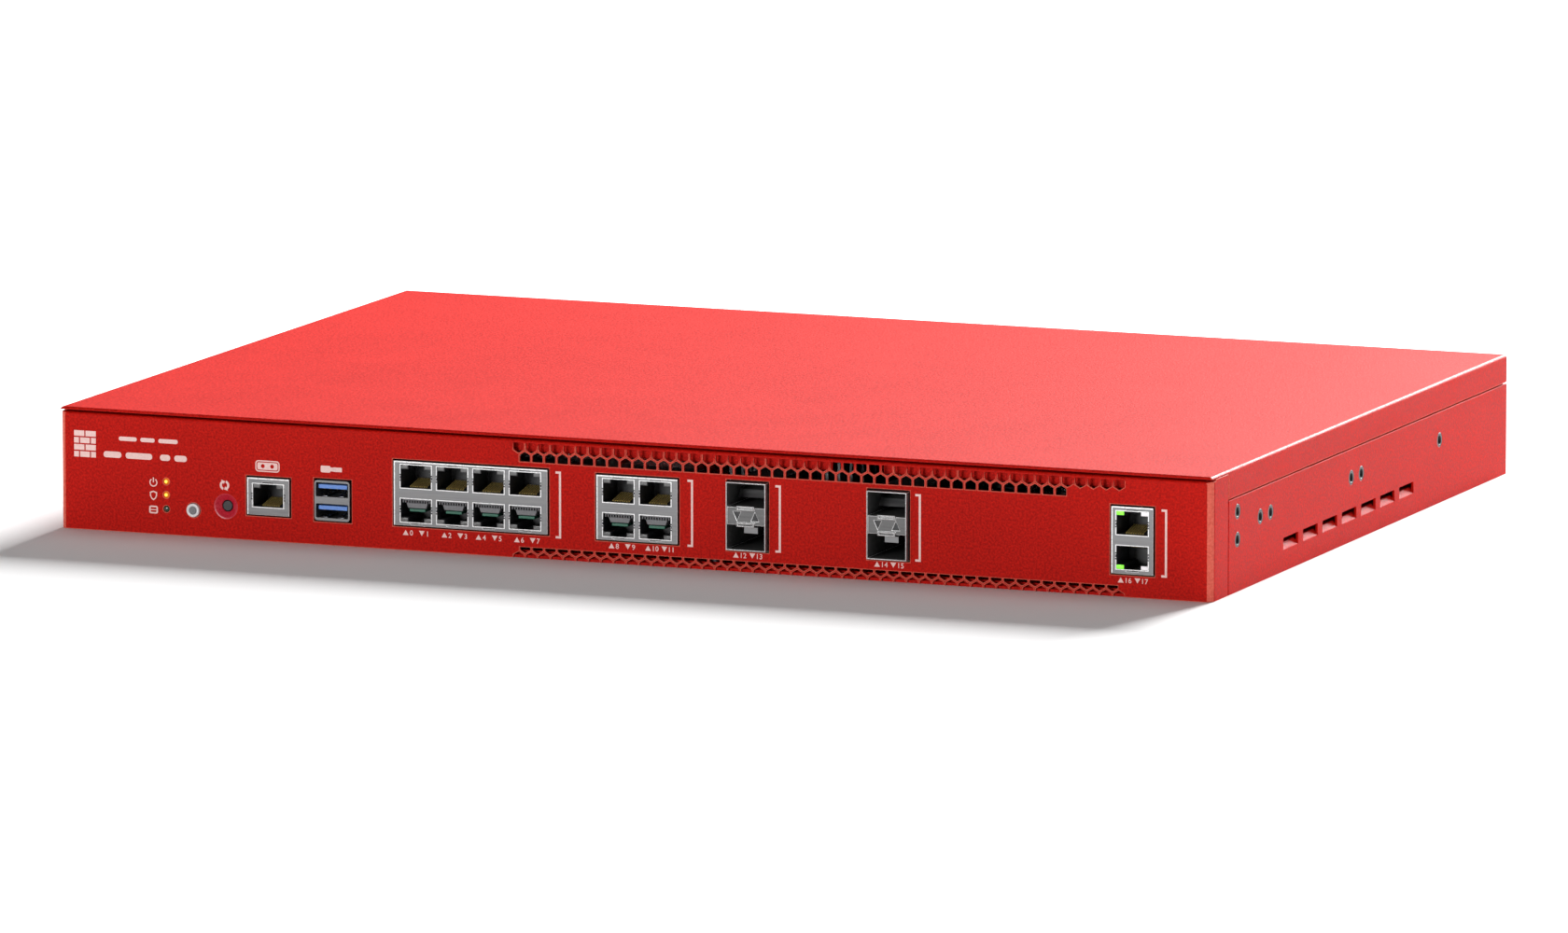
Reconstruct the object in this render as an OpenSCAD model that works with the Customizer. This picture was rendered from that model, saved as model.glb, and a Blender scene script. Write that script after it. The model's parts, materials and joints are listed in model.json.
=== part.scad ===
// One-unit network firewall appliance, as an assembly of separate pieces.
// Origin: centre of the bottom face. +X to the right seen from the front, front face towards -Y, +Z up.

/* [Case] */
// Width of the case
body_w = 438; // [436:1:440]
// Depth from the front face to the rear edge
body_d = 310; // [306:1:320]
// Height of the case
body_h = 44; // [43.8:0.1:44.4]
// Thickness of the steel sheet
sheet = 1; // [0.9:0.1:1.1]
// Radius of the bezel's two upright front corners
corner_r = 2.8; // [2:0.2:4]
// Radius of the cover's folded edges
fold_r = 1.4; // [1.2:0.1:1.8]
// Height of the cover's side flanges
flange_h = 10.2; // [8:0.1:11]
// Depth of the bezel's side returns
return_d = 16; // [12:1:18]
// Height of the groove between the bezel and the cover
groove_h = 0.8; // [0.6:0.1:1]

/* [Front vents] */
// Width of a hexagonal cell across its flats
cell_w = 4; // [3.4:0.1:4.2]
// Distance between neighbouring cells
cell_pitch = 4.81; // [4.7:0.01:4.9]
// Number of cells in the uppermost row
top_cells = 48; // [40:1:48]
// Number of cells in the second row
second_cells = 43; // [36:1:43]

/* [Front controls] */
// Diameter of the power button
power_d = 4.9; // [4:0.1:5.2]
// Diameter of the reset button
reset_d = 3.8; // [3:0.1:4]
// How far the power button travels
power_travel = 0.8; // [0.5:0.1:0.9]
// How far the reset button travels
reset_travel = 0.6; // [0.4:0.1:0.7]
// Diameter of a status light
light_d = 2.3; // [1.8:0.1:2.6]

/* [Sides] */
// Number of louvres in each side wall
louvres = 7; // [4:1:7]
// Distance between louvres
louvre_pitch = 20.2; // [18:0.1:21]
// Length of a louvre
louvre_l = 15; // [12:0.5:16]
// Radius of the bore in a threaded insert
insert_r = 1.65; // [1.5:0.05:1.8]

/* [Cooling] */
// Side of a square fan frame
fan_size = 40; // [40:0.1:40.4]
// Depth of a fan frame
fan_depth = 28; // [20:1:28]
// Number of blades on a rotor
blades = 7; // [5:1:9]

/* [Power] */
// Width of the power supply
psu_w = 80; // [70:1:80]
// Length of the power supply
psu_l = 145; // [120:1:145]
// How far the on/off rocker leans to each side, in degrees
rocker_lean = 10; // [6:1:10]

/* [Hidden] */
$fn = 32;

half_w = body_w / 2;
front_y = -body_d / 2;
rear_y = body_d / 2;
skin_gap = 0.1;
seam = 0.5;
past = 1;

// Heights of the sheet parts
cover_low = body_h - sheet;
bezel_h = cover_low - groove_h;
seam_z = body_h - flange_h;
inner_x = half_w - sheet - skin_gap - sheet;
return_y = front_y + return_d;
panel_y = rear_y - 2 * sheet - 0.1;
panel_top = cover_low - 0.1;

// Hexagonal cells: heights of the rows and of the flat-cut bands that hold them
cell_r = cell_w / sqrt(3);
row_step = cell_pitch * sqrt(3) / 2;
cell_x0 = 177.4;
upper_row_z = 39.75;
upper_band = [34.4, bezel_h - sheet - 0.1];
lower_row_z = 4.06;
lower_band_top = 3.85;
notch_cells = [25, 28];

// Main board
board_z = 6.2;
board_t = 1.6;
board_top = board_z + board_t;
board_front = front_y + 2.6;
board_back = front_y + 250;

// Jacks: [left edge, width, lowest, highest, columns, column pitch]
port_gap = 0.55;
shield_t = 0.3;
jack_proud = 0.4;
jack_depth = 25;
plug_w = 11.7;
plug_h = 6.7;
plug_depth = 13;
latch_w = 6;
latch_h = 2;
light_w = 2.7;
light_h = 1.45;
opening_w = 12;
rib_h = 1.95;
block_a = [129.7, 58.9, 9, 32, 4, 13.95];
block_b = [207.3, 30.8, 8.5, 31.5, 2, 14.05];
block_c = [400.75, 15.5, 8.3, 31.9, 1, 13.95];
console = [73, 16.3, 9.4, 22.7];
console_floor = 12.3;
console_depth = 21;

// Double USB socket and module cages
usb = [99.2, 13.5, 8.9, 23.3];
usb_proud = 0.6;
usb_depth = 17.5;
usb_opening = [12.5, 5.12];
usb_z = [12.4, 20];
cage_proud = 2;
cage_depth = 49;
cage_a = [257, 15, 7.9, 32.1];
cage_b = [310, 15, 7.9, 32.1];
cage_wall = 0.4;
cage_band = [17, 23.3];

// Controls, measured from the left edge and from the bottom
light_x = 41.4;
light_z = [19.2, 14.4, 9.3];
power_pos = [52, 9.5];
reset_pos = [64.6, 11.6];
dish_r = 4.6;
dish_depth = 1.6;
control_board_y = front_y + 9.4;
switch_h = 3.4;

// Side wall features, measured back from the front face
insert_spots = [[25.5, 18.4], [25.5, 28.3], [48.5, 23.1], [59, 23.1], [142.5, 23.1],
    [153, 23.1], [236.5, 23.1]];
insert_collar_r = 2.7;
insert_body_r = 3.6;
insert_l = 3.4;
louvre_y0 = 79.7;
louvre_z = [7.7, 11.9];
louvre_depth = 1.6;

// Rear features
fan_x = [-40, 50, 140];
fan_z = 21.6;
fan_hole = 32;
fan_front_y = panel_y - 0.1 - fan_depth;
shaft_r = 1.5;
inlet_x = -188;
inlet_z = 22;
rocker_x = -154;
rocker_z = 22;
rocker_r = 8.4;
rocker_y = panel_y + sheet - 1.2;
tab_x = [-100, 5, 95, 190];
screw_r = 1.5;

// Power supply and chips
psu_x = -half_w + 6;
psu_y = front_y + 120;
psu_h = 39.4;
cpu_x = 45;
cpu_y = -25;
net_x = -60;
net_y = -95;
standoffs = [[-192, -132], [-192, -52], [-118, -128], [-118, 88], [28, -140], [-20, 88],
    [150, -128], [200, -124], [198, 88], [100, 88]];

function fx(x) = x - half_w;
function fy(y) = front_y + y;
function centre_x(b) = fx(b[0] + b[1] / 2);
function centre_z(b) = (b[2] + b[3]) / 2;
// Every jack opening of a block as [x, height of the contact wall, +1 with the latch on top or -1]
function jack_ports(b) = [for (c = [0:b[4] - 1]) for (s = [1, -1])
    [centre_x(b) + (c - (b[4] - 1) / 2) * b[5], centre_z(b) + s * rib_h, s]];
console_port = [centre_x(console), console_floor, 1];
all_ports = concat(jack_ports(block_a), jack_ports(block_b), jack_ports(block_c), [console_port]);

// A box between two opposite corners
module block(low, high) {
    translate(low)
        cube(high - low);
}

// A flat drawing in X and Z, given thickness from y0 to y1
module along_y(y0, y1) {
    translate([0, y1, 0])
        rotate([90, 0, 0])
            linear_extrude(y1 - y0)
                children();
}

// A flat drawing in Y and Z, given thickness from x0 to x1
module along_x(x0, x1) {
    translate([x0, 0, 0])
        rotate([90, 0, 90])
            linear_extrude(x1 - x0)
                children();
}

// A rod along Y
module rod_y(x, z, r, y0, y1) {
    translate([x, y1, z])
        rotate([90, 0, 0])
            cylinder(r = r, h = y1 - y0);
}

// A rod along X
module rod_x(y, z, r, x0, x1) {
    translate([x0, y, z])
        rotate([0, 90, 0])
            cylinder(r = r, h = x1 - x0);
}

module both_sides() {
    children();
    mirror([1, 0, 0])
        children();
}

// A flat rectangle between two opposite corners
module rect(low, high) {
    translate(low)
        square(high - low);
}

// A rectangle whose two upper corners are rounded
module round_top(x0, x1, z0, z1, r) {
    rect([x0, z0], [x1, z1 - r]);
    rect([x0 + r, z0], [x1 - r, z1]);
    for (x = [x0 + r, x1 - r])
        translate([x, z1 - r])
            circle(r = r);
}

// A rectangle whose front upper corner alone is rounded
module round_front(y0, y1, z0, z1, r) {
    rect([y0, z0], [y1, z1 - r]);
    rect([y0 + r, z0], [y1, z1]);
    translate([y0 + r, z1 - r])
        circle(r = r);
}

// A rectangle whose two front corners are rounded, drawn in X and Y
module round_corners(x1, y0, y1, r) {
    rect([-x1, y0 + r], [x1, y1]);
    rect([-x1 + r, y0], [x1 - r, y1]);
    for (x = [-x1 + r, x1 - r])
        translate([x, y0 + r])
            circle(r = r);
}

module cell(x, z) {
    translate([x, z])
        rotate(30)
            circle(r = cell_r, $fn = 6);
}

module cell_row(first_x, z, count) {
    for (i = [0:count - 1])
        cell(first_x + i * cell_pitch, z);
}

// ---- Case ----

module top_cover() {
    color("crimson")
        difference() {
            intersection() {
                along_y(front_y, rear_y)
                    round_top(-half_w, half_w, seam_z, body_h, fold_r);
                along_x(-half_w, half_w)
                    round_front(front_y, rear_y, seam_z, body_h, sheet);
            }
            difference() {
                block([-half_w + sheet, front_y - past, seam_z - past],
                    [half_w - sheet, rear_y + past, cover_low]);
                for (x = tab_x)
                    block([x - 7, rear_y - sheet, cover_low - 8], [x + 7, rear_y, cover_low]);
            }
            block([-half_w - past, front_y - past, seam_z - past],
                [half_w + past, return_y + seam, cover_low]);
            for (x = tab_x)
                rod_y(x, cover_low - 4.5, screw_r + 0.2, rear_y - 2 * sheet, rear_y + past);
        }
}

// All openings of the bezel's flat face, drawn in X and Z
module bezel_openings() {
    intersection() {
        union() {
            cell_row(fx(cell_x0), upper_row_z, top_cells);
            cell_row(fx(cell_x0) + cell_pitch / 2, upper_row_z - row_step, second_cells);
        }
        rect([-half_w, upper_band[0]], [half_w, upper_band[1]]);
    }
    intersection() {
        union() {
            cell_row(fx(cell_x0) + cell_pitch / 2, lower_row_z, top_cells - 1);
            cell_row(fx(cell_x0), lower_row_z - row_step, top_cells);
        }
        rect([-half_w, -past], [half_w, lower_band_top]);
    }
    for (b = [block_a, block_b, block_c, console, usb, cage_a, cage_b])
        rect([fx(b[0]) - port_gap, b[2] - port_gap], [fx(b[0] + b[1]) + port_gap, b[3] + port_gap]);
    for (z = light_z)
        translate([fx(light_x), z])
            circle(r = light_d / 2 + 0.05);
    translate([fx(power_pos[0]), power_pos[1]])
        circle(r = power_d / 2 + 0.2);
    translate([fx(reset_pos[0]), reset_pos[1]])
        circle(r = dish_r);
}

// The cone pressed into the face around the reset button
module reset_dish() {
    translate([fx(reset_pos[0]), front_y, reset_pos[1]])
        rotate([-90, 0, 0])
            rotate_extrude()
                polygon([[dish_r + 0.6, 0], [dish_r, 0], [reset_d / 2 + 0.25, dish_depth],
                    [reset_d / 2 + 0.25, dish_depth + 0.8], [reset_d / 2 + 1, dish_depth + 0.8],
                    [dish_r + 0.6, sheet]]);
}

module front_bezel() {
    color("firebrick")
        difference() {
            union() {
                intersection() {
                    difference() {
                        linear_extrude(bezel_h)
                            round_corners(half_w, front_y, return_y, corner_r);
                        translate([0, 0, -past])
                            linear_extrude(bezel_h - sheet + past)
                                round_corners(half_w - sheet, front_y + sheet, return_y + past,
                                    corner_r - sheet);
                        block([-half_w + sheet, front_y + 9, -past],
                            [half_w - sheet, return_y + past, bezel_h + past]);
                    }
                    along_x(-half_w, half_w)
                        round_front(front_y, return_y, 0, bezel_h, sheet);
                }
                both_sides()
                    block([half_w - sheet, front_y + corner_r + 1, bezel_h],
                        [half_w, return_y, cover_low - 0.15]);
                block([-half_w + 4, front_y + sheet, 0], [half_w - 4, front_y + sheet + 1, sheet]);
            }
            along_y(front_y - past, front_y + sheet)
                bezel_openings();
        }
    color("firebrick")
        reset_dish();
}

module front_beam() {
    beam_top = bezel_h - sheet - 0.3;
    beam_y = front_y + 3.2;
    notch_x = [fx(cell_x0 + (notch_cells[0] - 0.5) * cell_pitch),
        fx(cell_x0 + (notch_cells[1] + 0.5) * cell_pitch)];
    color("firebrick")
        difference() {
            union() {
                block([-inner_x + 0.1, beam_y, 37.6], [inner_x - 0.1, beam_y + sheet, beam_top]);
                block([-inner_x + 0.1, beam_y, beam_top - sheet],
                    [inner_x - 0.1, beam_y + 14, beam_top]);
            }
            block([notch_x[0], beam_y - past, 37], [notch_x[1], beam_y + 4, beam_top + past]);
        }
}

// One wall louvre: a window and the slanted lip that leans in from its lower edge
module louvre_window(y) {
    block([half_w - sheet - past, y - louvre_l / 2, louvre_z[0]],
        [half_w + past, y + louvre_l / 2, louvre_z[1]]);
}

module louvre_lip(y) {
    rise = (louvre_z[1] - louvre_z[0]) * 0.52;
    along_y(y - louvre_l / 2, y + louvre_l / 2)
        polygon([[half_w, louvre_z[0]], [half_w - louvre_depth, louvre_z[0] + rise],
            [half_w - louvre_depth - sheet, louvre_z[0] + rise], [half_w - sheet, louvre_z[0]]]);
}

// The outer wall stands flush with the bezel and the cover, and steps inwards behind both
module side_wall() {
    step_z = seam_z - seam - sheet;
    back_y = return_y + seam;
    difference() {
        union() {
            block([half_w - sheet, back_y, 0], [half_w, rear_y, seam_z - seam]);
            block([inner_x, back_y, step_z], [half_w, panel_y - 0.1, seam_z - seam]);
            block([inner_x, front_y + 2.6, step_z],
                [inner_x + sheet, panel_y - 0.1, cover_low - 0.1]);
            block([inner_x, front_y + 2.6, 0], [inner_x + sheet, back_y + sheet, cover_low - 0.1]);
            block([inner_x, back_y, 0], [half_w, back_y + sheet, seam_z - seam]);
        }
        block([inner_x - past, front_y, bezel_h - sheet - 0.2],
            [half_w + past, front_y + 9.2, body_h]);
        for (i = [0:louvres - 1])
            louvre_window(fy(louvre_y0 + i * louvre_pitch));
        for (p = insert_spots)
            rod_x(fy(p[0]), p[1], insert_collar_r, half_w - sheet - past, half_w + past);
    }
    for (i = [0:louvres - 1])
        louvre_lip(fy(louvre_y0 + i * louvre_pitch));
}

module base_tray() {
    color("firebrick") {
        block([-inner_x - sheet, front_y + 2.6, 0], [inner_x + sheet, return_y + seam + sheet, sheet]);
        block([-half_w, return_y + seam, 0], [half_w, rear_y, sheet]);
        block([-inner_x, front_y + 2.6, 0], [inner_x, front_y + 2.6 + sheet, 2.5]);
        both_sides()
            side_wall();
    }
}

module side_inserts() {
    color("silver")
        both_sides()
            for (p = insert_spots)
                difference() {
                    union() {
                        rod_x(fy(p[0]), p[1], insert_collar_r, half_w - sheet, half_w);
                        rod_x(fy(p[0]), p[1], insert_body_r, half_w - insert_l, half_w - sheet);
                    }
                    rod_x(fy(p[0]), p[1], insert_r, half_w - insert_l - past, half_w + past);
                }
}

// Cells that fit inside a circle, drawn in X and Z
module round_grille(x, z, r) {
    rows = floor((r - cell_r) / row_step);
    for (j = [-rows:rows])
        for (i = [-5:5]) {
            cx = (i + (abs(j) % 2) / 2) * cell_pitch;
            cz = j * row_step;
            if (norm([cx, cz]) + cell_r <= r)
                cell(x + cx, z + cz);
        }
}

module rear_panel() {
    color("firebrick") {
        along_y(panel_y, panel_y + sheet)
            difference() {
                rect([-half_w + sheet + 0.1, sheet + 0.1], [half_w - sheet - 0.1, panel_top]);
                for (x = fan_x) {
                    round_grille(x, fan_z, fan_size / 2 - 0.6);
                    for (dx = [-1, 1])
                        for (dz = [-1, 1])
                            translate([x + dx * fan_hole / 2, fan_z + dz * fan_hole / 2])
                                circle(r = 2.15);
                }
                rect([inlet_x - 13.8, inlet_z - 10.2], [inlet_x + 13.8, inlet_z + 10.2]);
                rect([rocker_x - 6.8, rocker_z - 10.2], [rocker_x + 6.8, rocker_z + 10.2]);
                for (j = [0:5])
                    cell_row(rocker_x + 14 + (j % 2) * cell_pitch / 2, 11 + j * row_step, 8);
                for (x = tab_x)
                    translate([x, cover_low - 4.5])
                        circle(r = screw_r + 0.05);
            }
        both_sides()
            block([half_w - 2 * sheet - 0.1, panel_y - 8, 3],
                [half_w - sheet - 0.1, panel_y, seam_z - seam - 2 * sheet]);
        block([-half_w + 8, panel_y - 8, sheet + 0.1], [psu_x - 4, panel_y, 2 * sheet + 0.1]);
    }
}

// A pan-head screw along Y, its head towards +Y
module rear_screw(x, z, head_y, head_r, head_h, shank_r, shank_l) {
    difference() {
        union() {
            rod_y(x, z, head_r, head_y, head_y + head_h);
            rod_y(x, z, shank_r, head_y - shank_l, head_y);
        }
        for (turn = [0, 90])
            translate([x, head_y + head_h, z])
                rotate([0, turn, 0])
                    cube([head_r * 1.2, head_h, 0.6], center = true);
    }
}

module cover_screws() {
    color("silver")
        for (x = tab_x)
            rear_screw(x, cover_low - 4.5, rear_y, 2.8, 1.5, screw_r, 6);
}

// ---- Jacks ----

// One jack's hollow as seen from the front, latch side up
module plug_outline() {
    rect([-plug_w / 2, 0], [plug_w / 2, plug_h]);
    rect([-latch_w / 2, 0], [latch_w / 2, plug_h + latch_h]);
}

module port_place(p) {
    translate([p[0], p[1]])
        mirror([0, p[2] < 0 ? 1 : 0])
            children();
}

// The shield's window in front of one jack
module shield_window(w) {
    rect([-w / 2, -0.15], [w / 2, plug_h + light_h + 0.1]);
    rect([-2.3, 0], [2.3, plug_h + light_h + 0.8]);
}

module jack_shield(b, ports, w, depth) {
    x = [fx(b[0]), fx(b[0] + b[1])];
    difference() {
        block([x[0], front_y - jack_proud, b[2]], [x[1], front_y + depth, b[3]]);
        block([x[0] + shield_t, front_y - jack_proud + shield_t, b[2] + shield_t],
            [x[1] - shield_t, front_y + depth + past, b[3] - shield_t]);
        along_y(front_y - jack_proud - past, front_y - jack_proud + shield_t)
            for (p = ports)
                port_place(p)
                    shield_window(w);
    }
}

module jack_body(b, ports, depth) {
    x = [fx(b[0]) + shield_t, fx(b[0] + b[1]) - shield_t];
    face_y = front_y - jack_proud + shield_t;
    difference() {
        union() {
            block([x[0], face_y, b[2] + shield_t], [x[1], front_y + depth - 0.4, b[3] - shield_t]);
            for (px = [x[0] + 3, x[1] - 3])
                translate([px, front_y + 12, board_top])
                    cylinder(r = 1.5, h = b[2] + shield_t - board_top);
        }
        along_y(face_y - past, face_y + plug_depth)
            for (p = ports)
                port_place(p)
                    plug_outline();
        along_y(face_y - past, face_y + 1.5)
            for (p = ports)
                port_place(p)
                    for (s = [-1, 1])
                        light_outline(s, 0.05);
    }
}

module light_outline(s, ease) {
    middle = plug_w / 2 - light_w / 2;
    rect([s * middle - light_w / 2 - ease, plug_h + 0.1],
        [s * middle + light_w / 2 + ease, plug_h + light_h + ease]);
}

// The shield's skirt is notched where the body's two legs stand
module shield_with_legs(b, ports, w, depth) {
    difference() {
        jack_shield(b, ports, w, depth);
        for (px = [fx(b[0]) + shield_t + 3, fx(b[0] + b[1]) - shield_t - 3])
            translate([px, front_y + 12, b[2] - past])
                cylinder(r = 1.6, h = 2);
    }
}

module console_shield() {
    color("silver")
        shield_with_legs(console, [console_port], 12.7, console_depth);
}

module console_body() {
    color("dimgray")
        jack_body(console, [console_port], console_depth);
}

module jack_shield_a() {
    color("silver")
        shield_with_legs(block_a, jack_ports(block_a), opening_w, jack_depth);
}

module jack_body_a() {
    color("dimgray")
        jack_body(block_a, jack_ports(block_a), jack_depth);
}

module jack_shield_b() {
    color("silver")
        shield_with_legs(block_b, jack_ports(block_b), opening_w, jack_depth);
}

module jack_body_b() {
    color("dimgray")
        jack_body(block_b, jack_ports(block_b), jack_depth);
}

module jack_shield_c() {
    color("silver")
        shield_with_legs(block_c, jack_ports(block_c), opening_w, jack_depth);
}

module jack_body_c() {
    color("dimgray")
        jack_body(block_c, jack_ports(block_c), jack_depth);
}

// Eight sprung wires in each jack, leaning up from the contact wall towards the back
module jack_contacts() {
    wires = 8;
    wire_pitch = 0.88;
    lean = 12;
    color("gold")
        for (p = all_ports)
            for (i = [0:wires - 1])
                translate([p[0] + (i - (wires - 1) / 2) * wire_pitch, front_y + 2.2, p[1]])
                    mirror([0, 0, p[2] < 0 ? 1 : 0])
                        translate([-0.22, 0, 0.12])
                            rotate([lean, 0, 0])
                                cube([0.44, 8.5, 0.3]);
}

module jack_lights() {
    face_y = front_y - jack_proud + shield_t;
    color("lightgray")
        along_y(face_y, face_y + 1.4)
            for (p = all_ports)
                port_place(p)
                    for (s = [-1, 1])
                        light_outline(s, 0);
}

// ---- USB ----

module usb_shell() {
    x = [fx(usb[0]), fx(usb[0] + usb[1])];
    face_y = front_y - usb_proud;
    middle = (x[0] + x[1]) / 2;
    color("silver") {
        difference() {
            block([x[0], face_y, usb[2]], [x[1], face_y + usb_depth, usb[3]]);
            for (z = usb_z)
                block([middle - usb_opening[0] / 2, face_y - past, z - usb_opening[1] / 2],
                    [middle + usb_opening[0] / 2, face_y + usb_depth - 1, z + usb_opening[1] / 2]);
        }
        for (dx = [-4.5, 4.5])
            translate([middle + dx, face_y + usb_depth - 4, board_top])
                cylinder(r = 0.8, h = usb[2] - board_top);
    }
}

module usb_tongues() {
    middle = centre_x(usb);
    color("royalblue")
        for (z = usb_z)
            block([middle - 5.55, front_y + 0.6, z + 0.2],
                [middle + 5.55, front_y - usb_proud + usb_depth - 1, z + 2.04]);
}

// ---- Module cages ----

module cage_triangle(x, z, up, ease) {
    w = 1.35 + ease;
    h = 1.5 + ease;
    translate([x, z])
        polygon(up ? [[-w, -h], [w, -h], [0, h]] : [[-w, h], [0, -h], [w, h]]);
}

module cage_triangles(b, ease) {
    z = (cage_band[0] + cage_band[1]) / 2;
    cage_triangle(centre_x(b) - 3.4, z, false, ease);
    cage_triangle(centre_x(b) + 3.4, z, true, ease);
}

module module_cage(b) {
    x = [fx(b[0]), fx(b[0] + b[1])];
    face_y = front_y - cage_proud;
    low = [b[2] + cage_wall, cage_band[1]];
    high = [cage_band[0], b[3] - cage_wall];
    band_y = face_y + 0.5;
    difference() {
        block([x[0], face_y, b[2]], [x[1], face_y + cage_depth, b[3]]);
        for (i = [0, 1])
            block([x[0] + cage_wall, face_y - past, low[i]],
                [x[1] - cage_wall, face_y + cage_depth - cage_wall, high[i]]);
        block([x[0] + cage_wall, face_y - past, cage_band[0] - 0.2],
            [x[1] - cage_wall, band_y, cage_band[1] + 0.2]);
        block([x[0] + cage_wall, band_y + cage_wall, cage_band[0] + cage_wall],
            [x[1] - cage_wall, face_y + cage_depth - cage_wall, cage_band[1] - cage_wall]);
        along_y(face_y, band_y + cage_wall + 0.1)
            cage_triangles(b, 0.05);
    }
    for (z = [cage_band[0] - 0.5, cage_band[1] - 0.9])
        difference() {
            block([centre_x(b) - 3.3, face_y - 0.3, z], [centre_x(b) + 3.3, band_y, z + 1.4]);
            block([centre_x(b) - 2.7, face_y - past, z + 0.4],
                [centre_x(b) + 2.7, band_y + past, z + 1]);
        }
    for (px = [x[0] + 2, x[1] - 2])
        for (py = [10, 40])
            translate([px, face_y + py, board_top])
                cylinder(r = 0.5, h = b[2] - board_top);
}

module module_cage_a() {
    color("silver")
        module_cage(cage_a);
}

module module_cage_b() {
    color("silver")
        module_cage(cage_b);
}

module module_sockets() {
    socket_l = 9;
    back_y = front_y - cage_proud + cage_depth - cage_wall;
    color("gray")
        for (b = [cage_a, cage_b])
            for (z = [b[2] + cage_wall, cage_band[1]])
                difference() {
                    block([centre_x(b) - 5.8, back_y - socket_l, z],
                        [centre_x(b) + 5.8, back_y, z + 6.6]);
                    block([centre_x(b) - 4.9, back_y - socket_l - past, z + 2.6],
                        [centre_x(b) + 4.9, back_y - 2, z + 4]);
                }
}

module module_lights() {
    band_y = front_y - cage_proud + 0.5;
    color("black")
        for (b = [cage_a, cage_b])
            along_y(band_y, band_y + cage_wall)
                cage_triangles(b, 0);
}

// ---- Controls ----

module status_lights() {
    color("orange")
        for (z = light_z) {
            rod_y(fx(light_x), z, light_d / 2, front_y - 0.2, control_board_y - 0.8);
            block([fx(light_x) - 1.4, control_board_y - 0.8, z - 1.4],
                [fx(light_x) + 1.4, control_board_y, z + 1.4]);
        }
}

module button_board() {
    color("darkgreen")
        block([fx(31), control_board_y, 4.5], [fx(69), control_board_y + board_t, 24]);
}

module push_switches() {
    color("black")
        for (p = [[power_pos, power_travel], [reset_pos, reset_travel]]) {
            x = fx(p[0][0]);
            z = p[0][1];
            difference() {
                block([x - 3.1, control_board_y - switch_h, z - 3.1],
                    [x + 3.1, control_board_y, z + 3.1]);
                rod_y(x, z, 1.95, control_board_y - switch_h - past,
                    control_board_y - switch_h + 0.8 + p[1]);
            }
        }
}

// A round cap with a collar behind the bezel and a stem that ends inside its switch
module push_button(p, r, face, collar_y, collar_r) {
    rod_y(fx(p[0]), p[1], r, face, collar_y);
    rod_y(fx(p[0]), p[1], collar_r, collar_y, collar_y + 0.8);
    rod_y(fx(p[0]), p[1], 1.7, collar_y + 0.8, control_board_y - switch_h + 0.3);
}

module power_button() {
    face = front_y - 0.9;
    color("whitesmoke")
        difference() {
            push_button(power_pos, power_d / 2, face, front_y + sheet + 0.5, 3.3);
            rod_y(fx(power_pos[0]), power_pos[1], power_d * 0.3, face - past, face + 0.5);
        }
}

module power_inlay() {
    face = front_y - 0.9;
    color("gray")
        rod_y(fx(power_pos[0]), power_pos[1], power_d * 0.3, face + 0.2, face + 0.5);
}

module reset_button() {
    color("dimgray")
        push_button(reset_pos, reset_d / 2, front_y + dish_depth - 0.1,
            front_y + dish_depth + 1.4, 2.7);
}

// A flat lead from the button board down to the main board
module front_ribbon() {
    y0 = control_board_y + board_t;
    low_z = board_top + 3.2;
    t = 0.7;
    r = 2;
    color("lightgray")
        along_x(fx(38), fx(50))
            union() {
                rect([y0 + 3, 15], [y0 + 6, 15 + t]);
                rect([y0 + 6 + r - t, low_z + 4], [y0 + 6 + r, 15 - r + t]);
                translate([y0 + 6, 15 - r + t])
                    intersection() {
                        difference() {
                            circle(r = r);
                            circle(r = r - t);
                        }
                        square(r);
                    }
            }
    color("lightgray")
        block([fx(38) - 1, y0, 13.5], [fx(50) + 1, y0 + 3, 17]);
    color("lightgray")
        block([fx(38) - 1, y0 + 5, low_z - 2], [fx(50) + 1, y0 + 10, low_z + 4]);
}

// ---- Main board ----

module main_board() {
    color("darkgreen")
        translate([0, 0, board_z])
            linear_extrude(board_t)
                difference() {
                    polygon([[-200, fy(14)], [fx(70), fy(14)], [fx(70), board_front],
                        [205, board_front], [205, board_back], [-124, board_back],
                        [-124, psu_y - 8], [-200, psu_y - 8]]);
                    for (p = standoffs)
                        translate(p)
                            circle(r = 1.6);
                }
}

module board_standoffs() {
    color("silver")
        for (p = standoffs)
            translate([p[0], p[1], sheet])
                difference() {
                    cylinder(r = 2.75, h = board_z - sheet);
                    translate([0, 0, 1])
                        cylinder(r = 1.3, h = board_z);
                }
}

// A pan-head screw pointing down, its head resting at height z
module down_screw(x, y, z, head_r, shank_r, shank_l) {
    difference() {
        union() {
            translate([x, y, z])
                cylinder(r = head_r, h = 1.8);
            translate([x, y, z - shank_l])
                cylinder(r = shank_r, h = shank_l);
        }
        for (turn = [0, 90])
            translate([x, y, z + 1.8])
                rotate([0, 0, turn])
                    cube([head_r * 1.2, 0.6, 1.6], center = true);
    }
}

module board_screws() {
    color("silver")
        for (p = standoffs)
            down_screw(p[0], p[1], board_top, 2.7, 1.2, 5);
}

module processor() {
    color("gray") {
        block([cpu_x - 18.8, cpu_y - 18.8, board_top], [cpu_x + 18.8, cpu_y + 18.8, board_top + 1.2]);
        block([cpu_x - 15, cpu_y - 15, board_top + 1.2], [cpu_x + 15, cpu_y + 15, board_top + 2.6]);
    }
}

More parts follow.
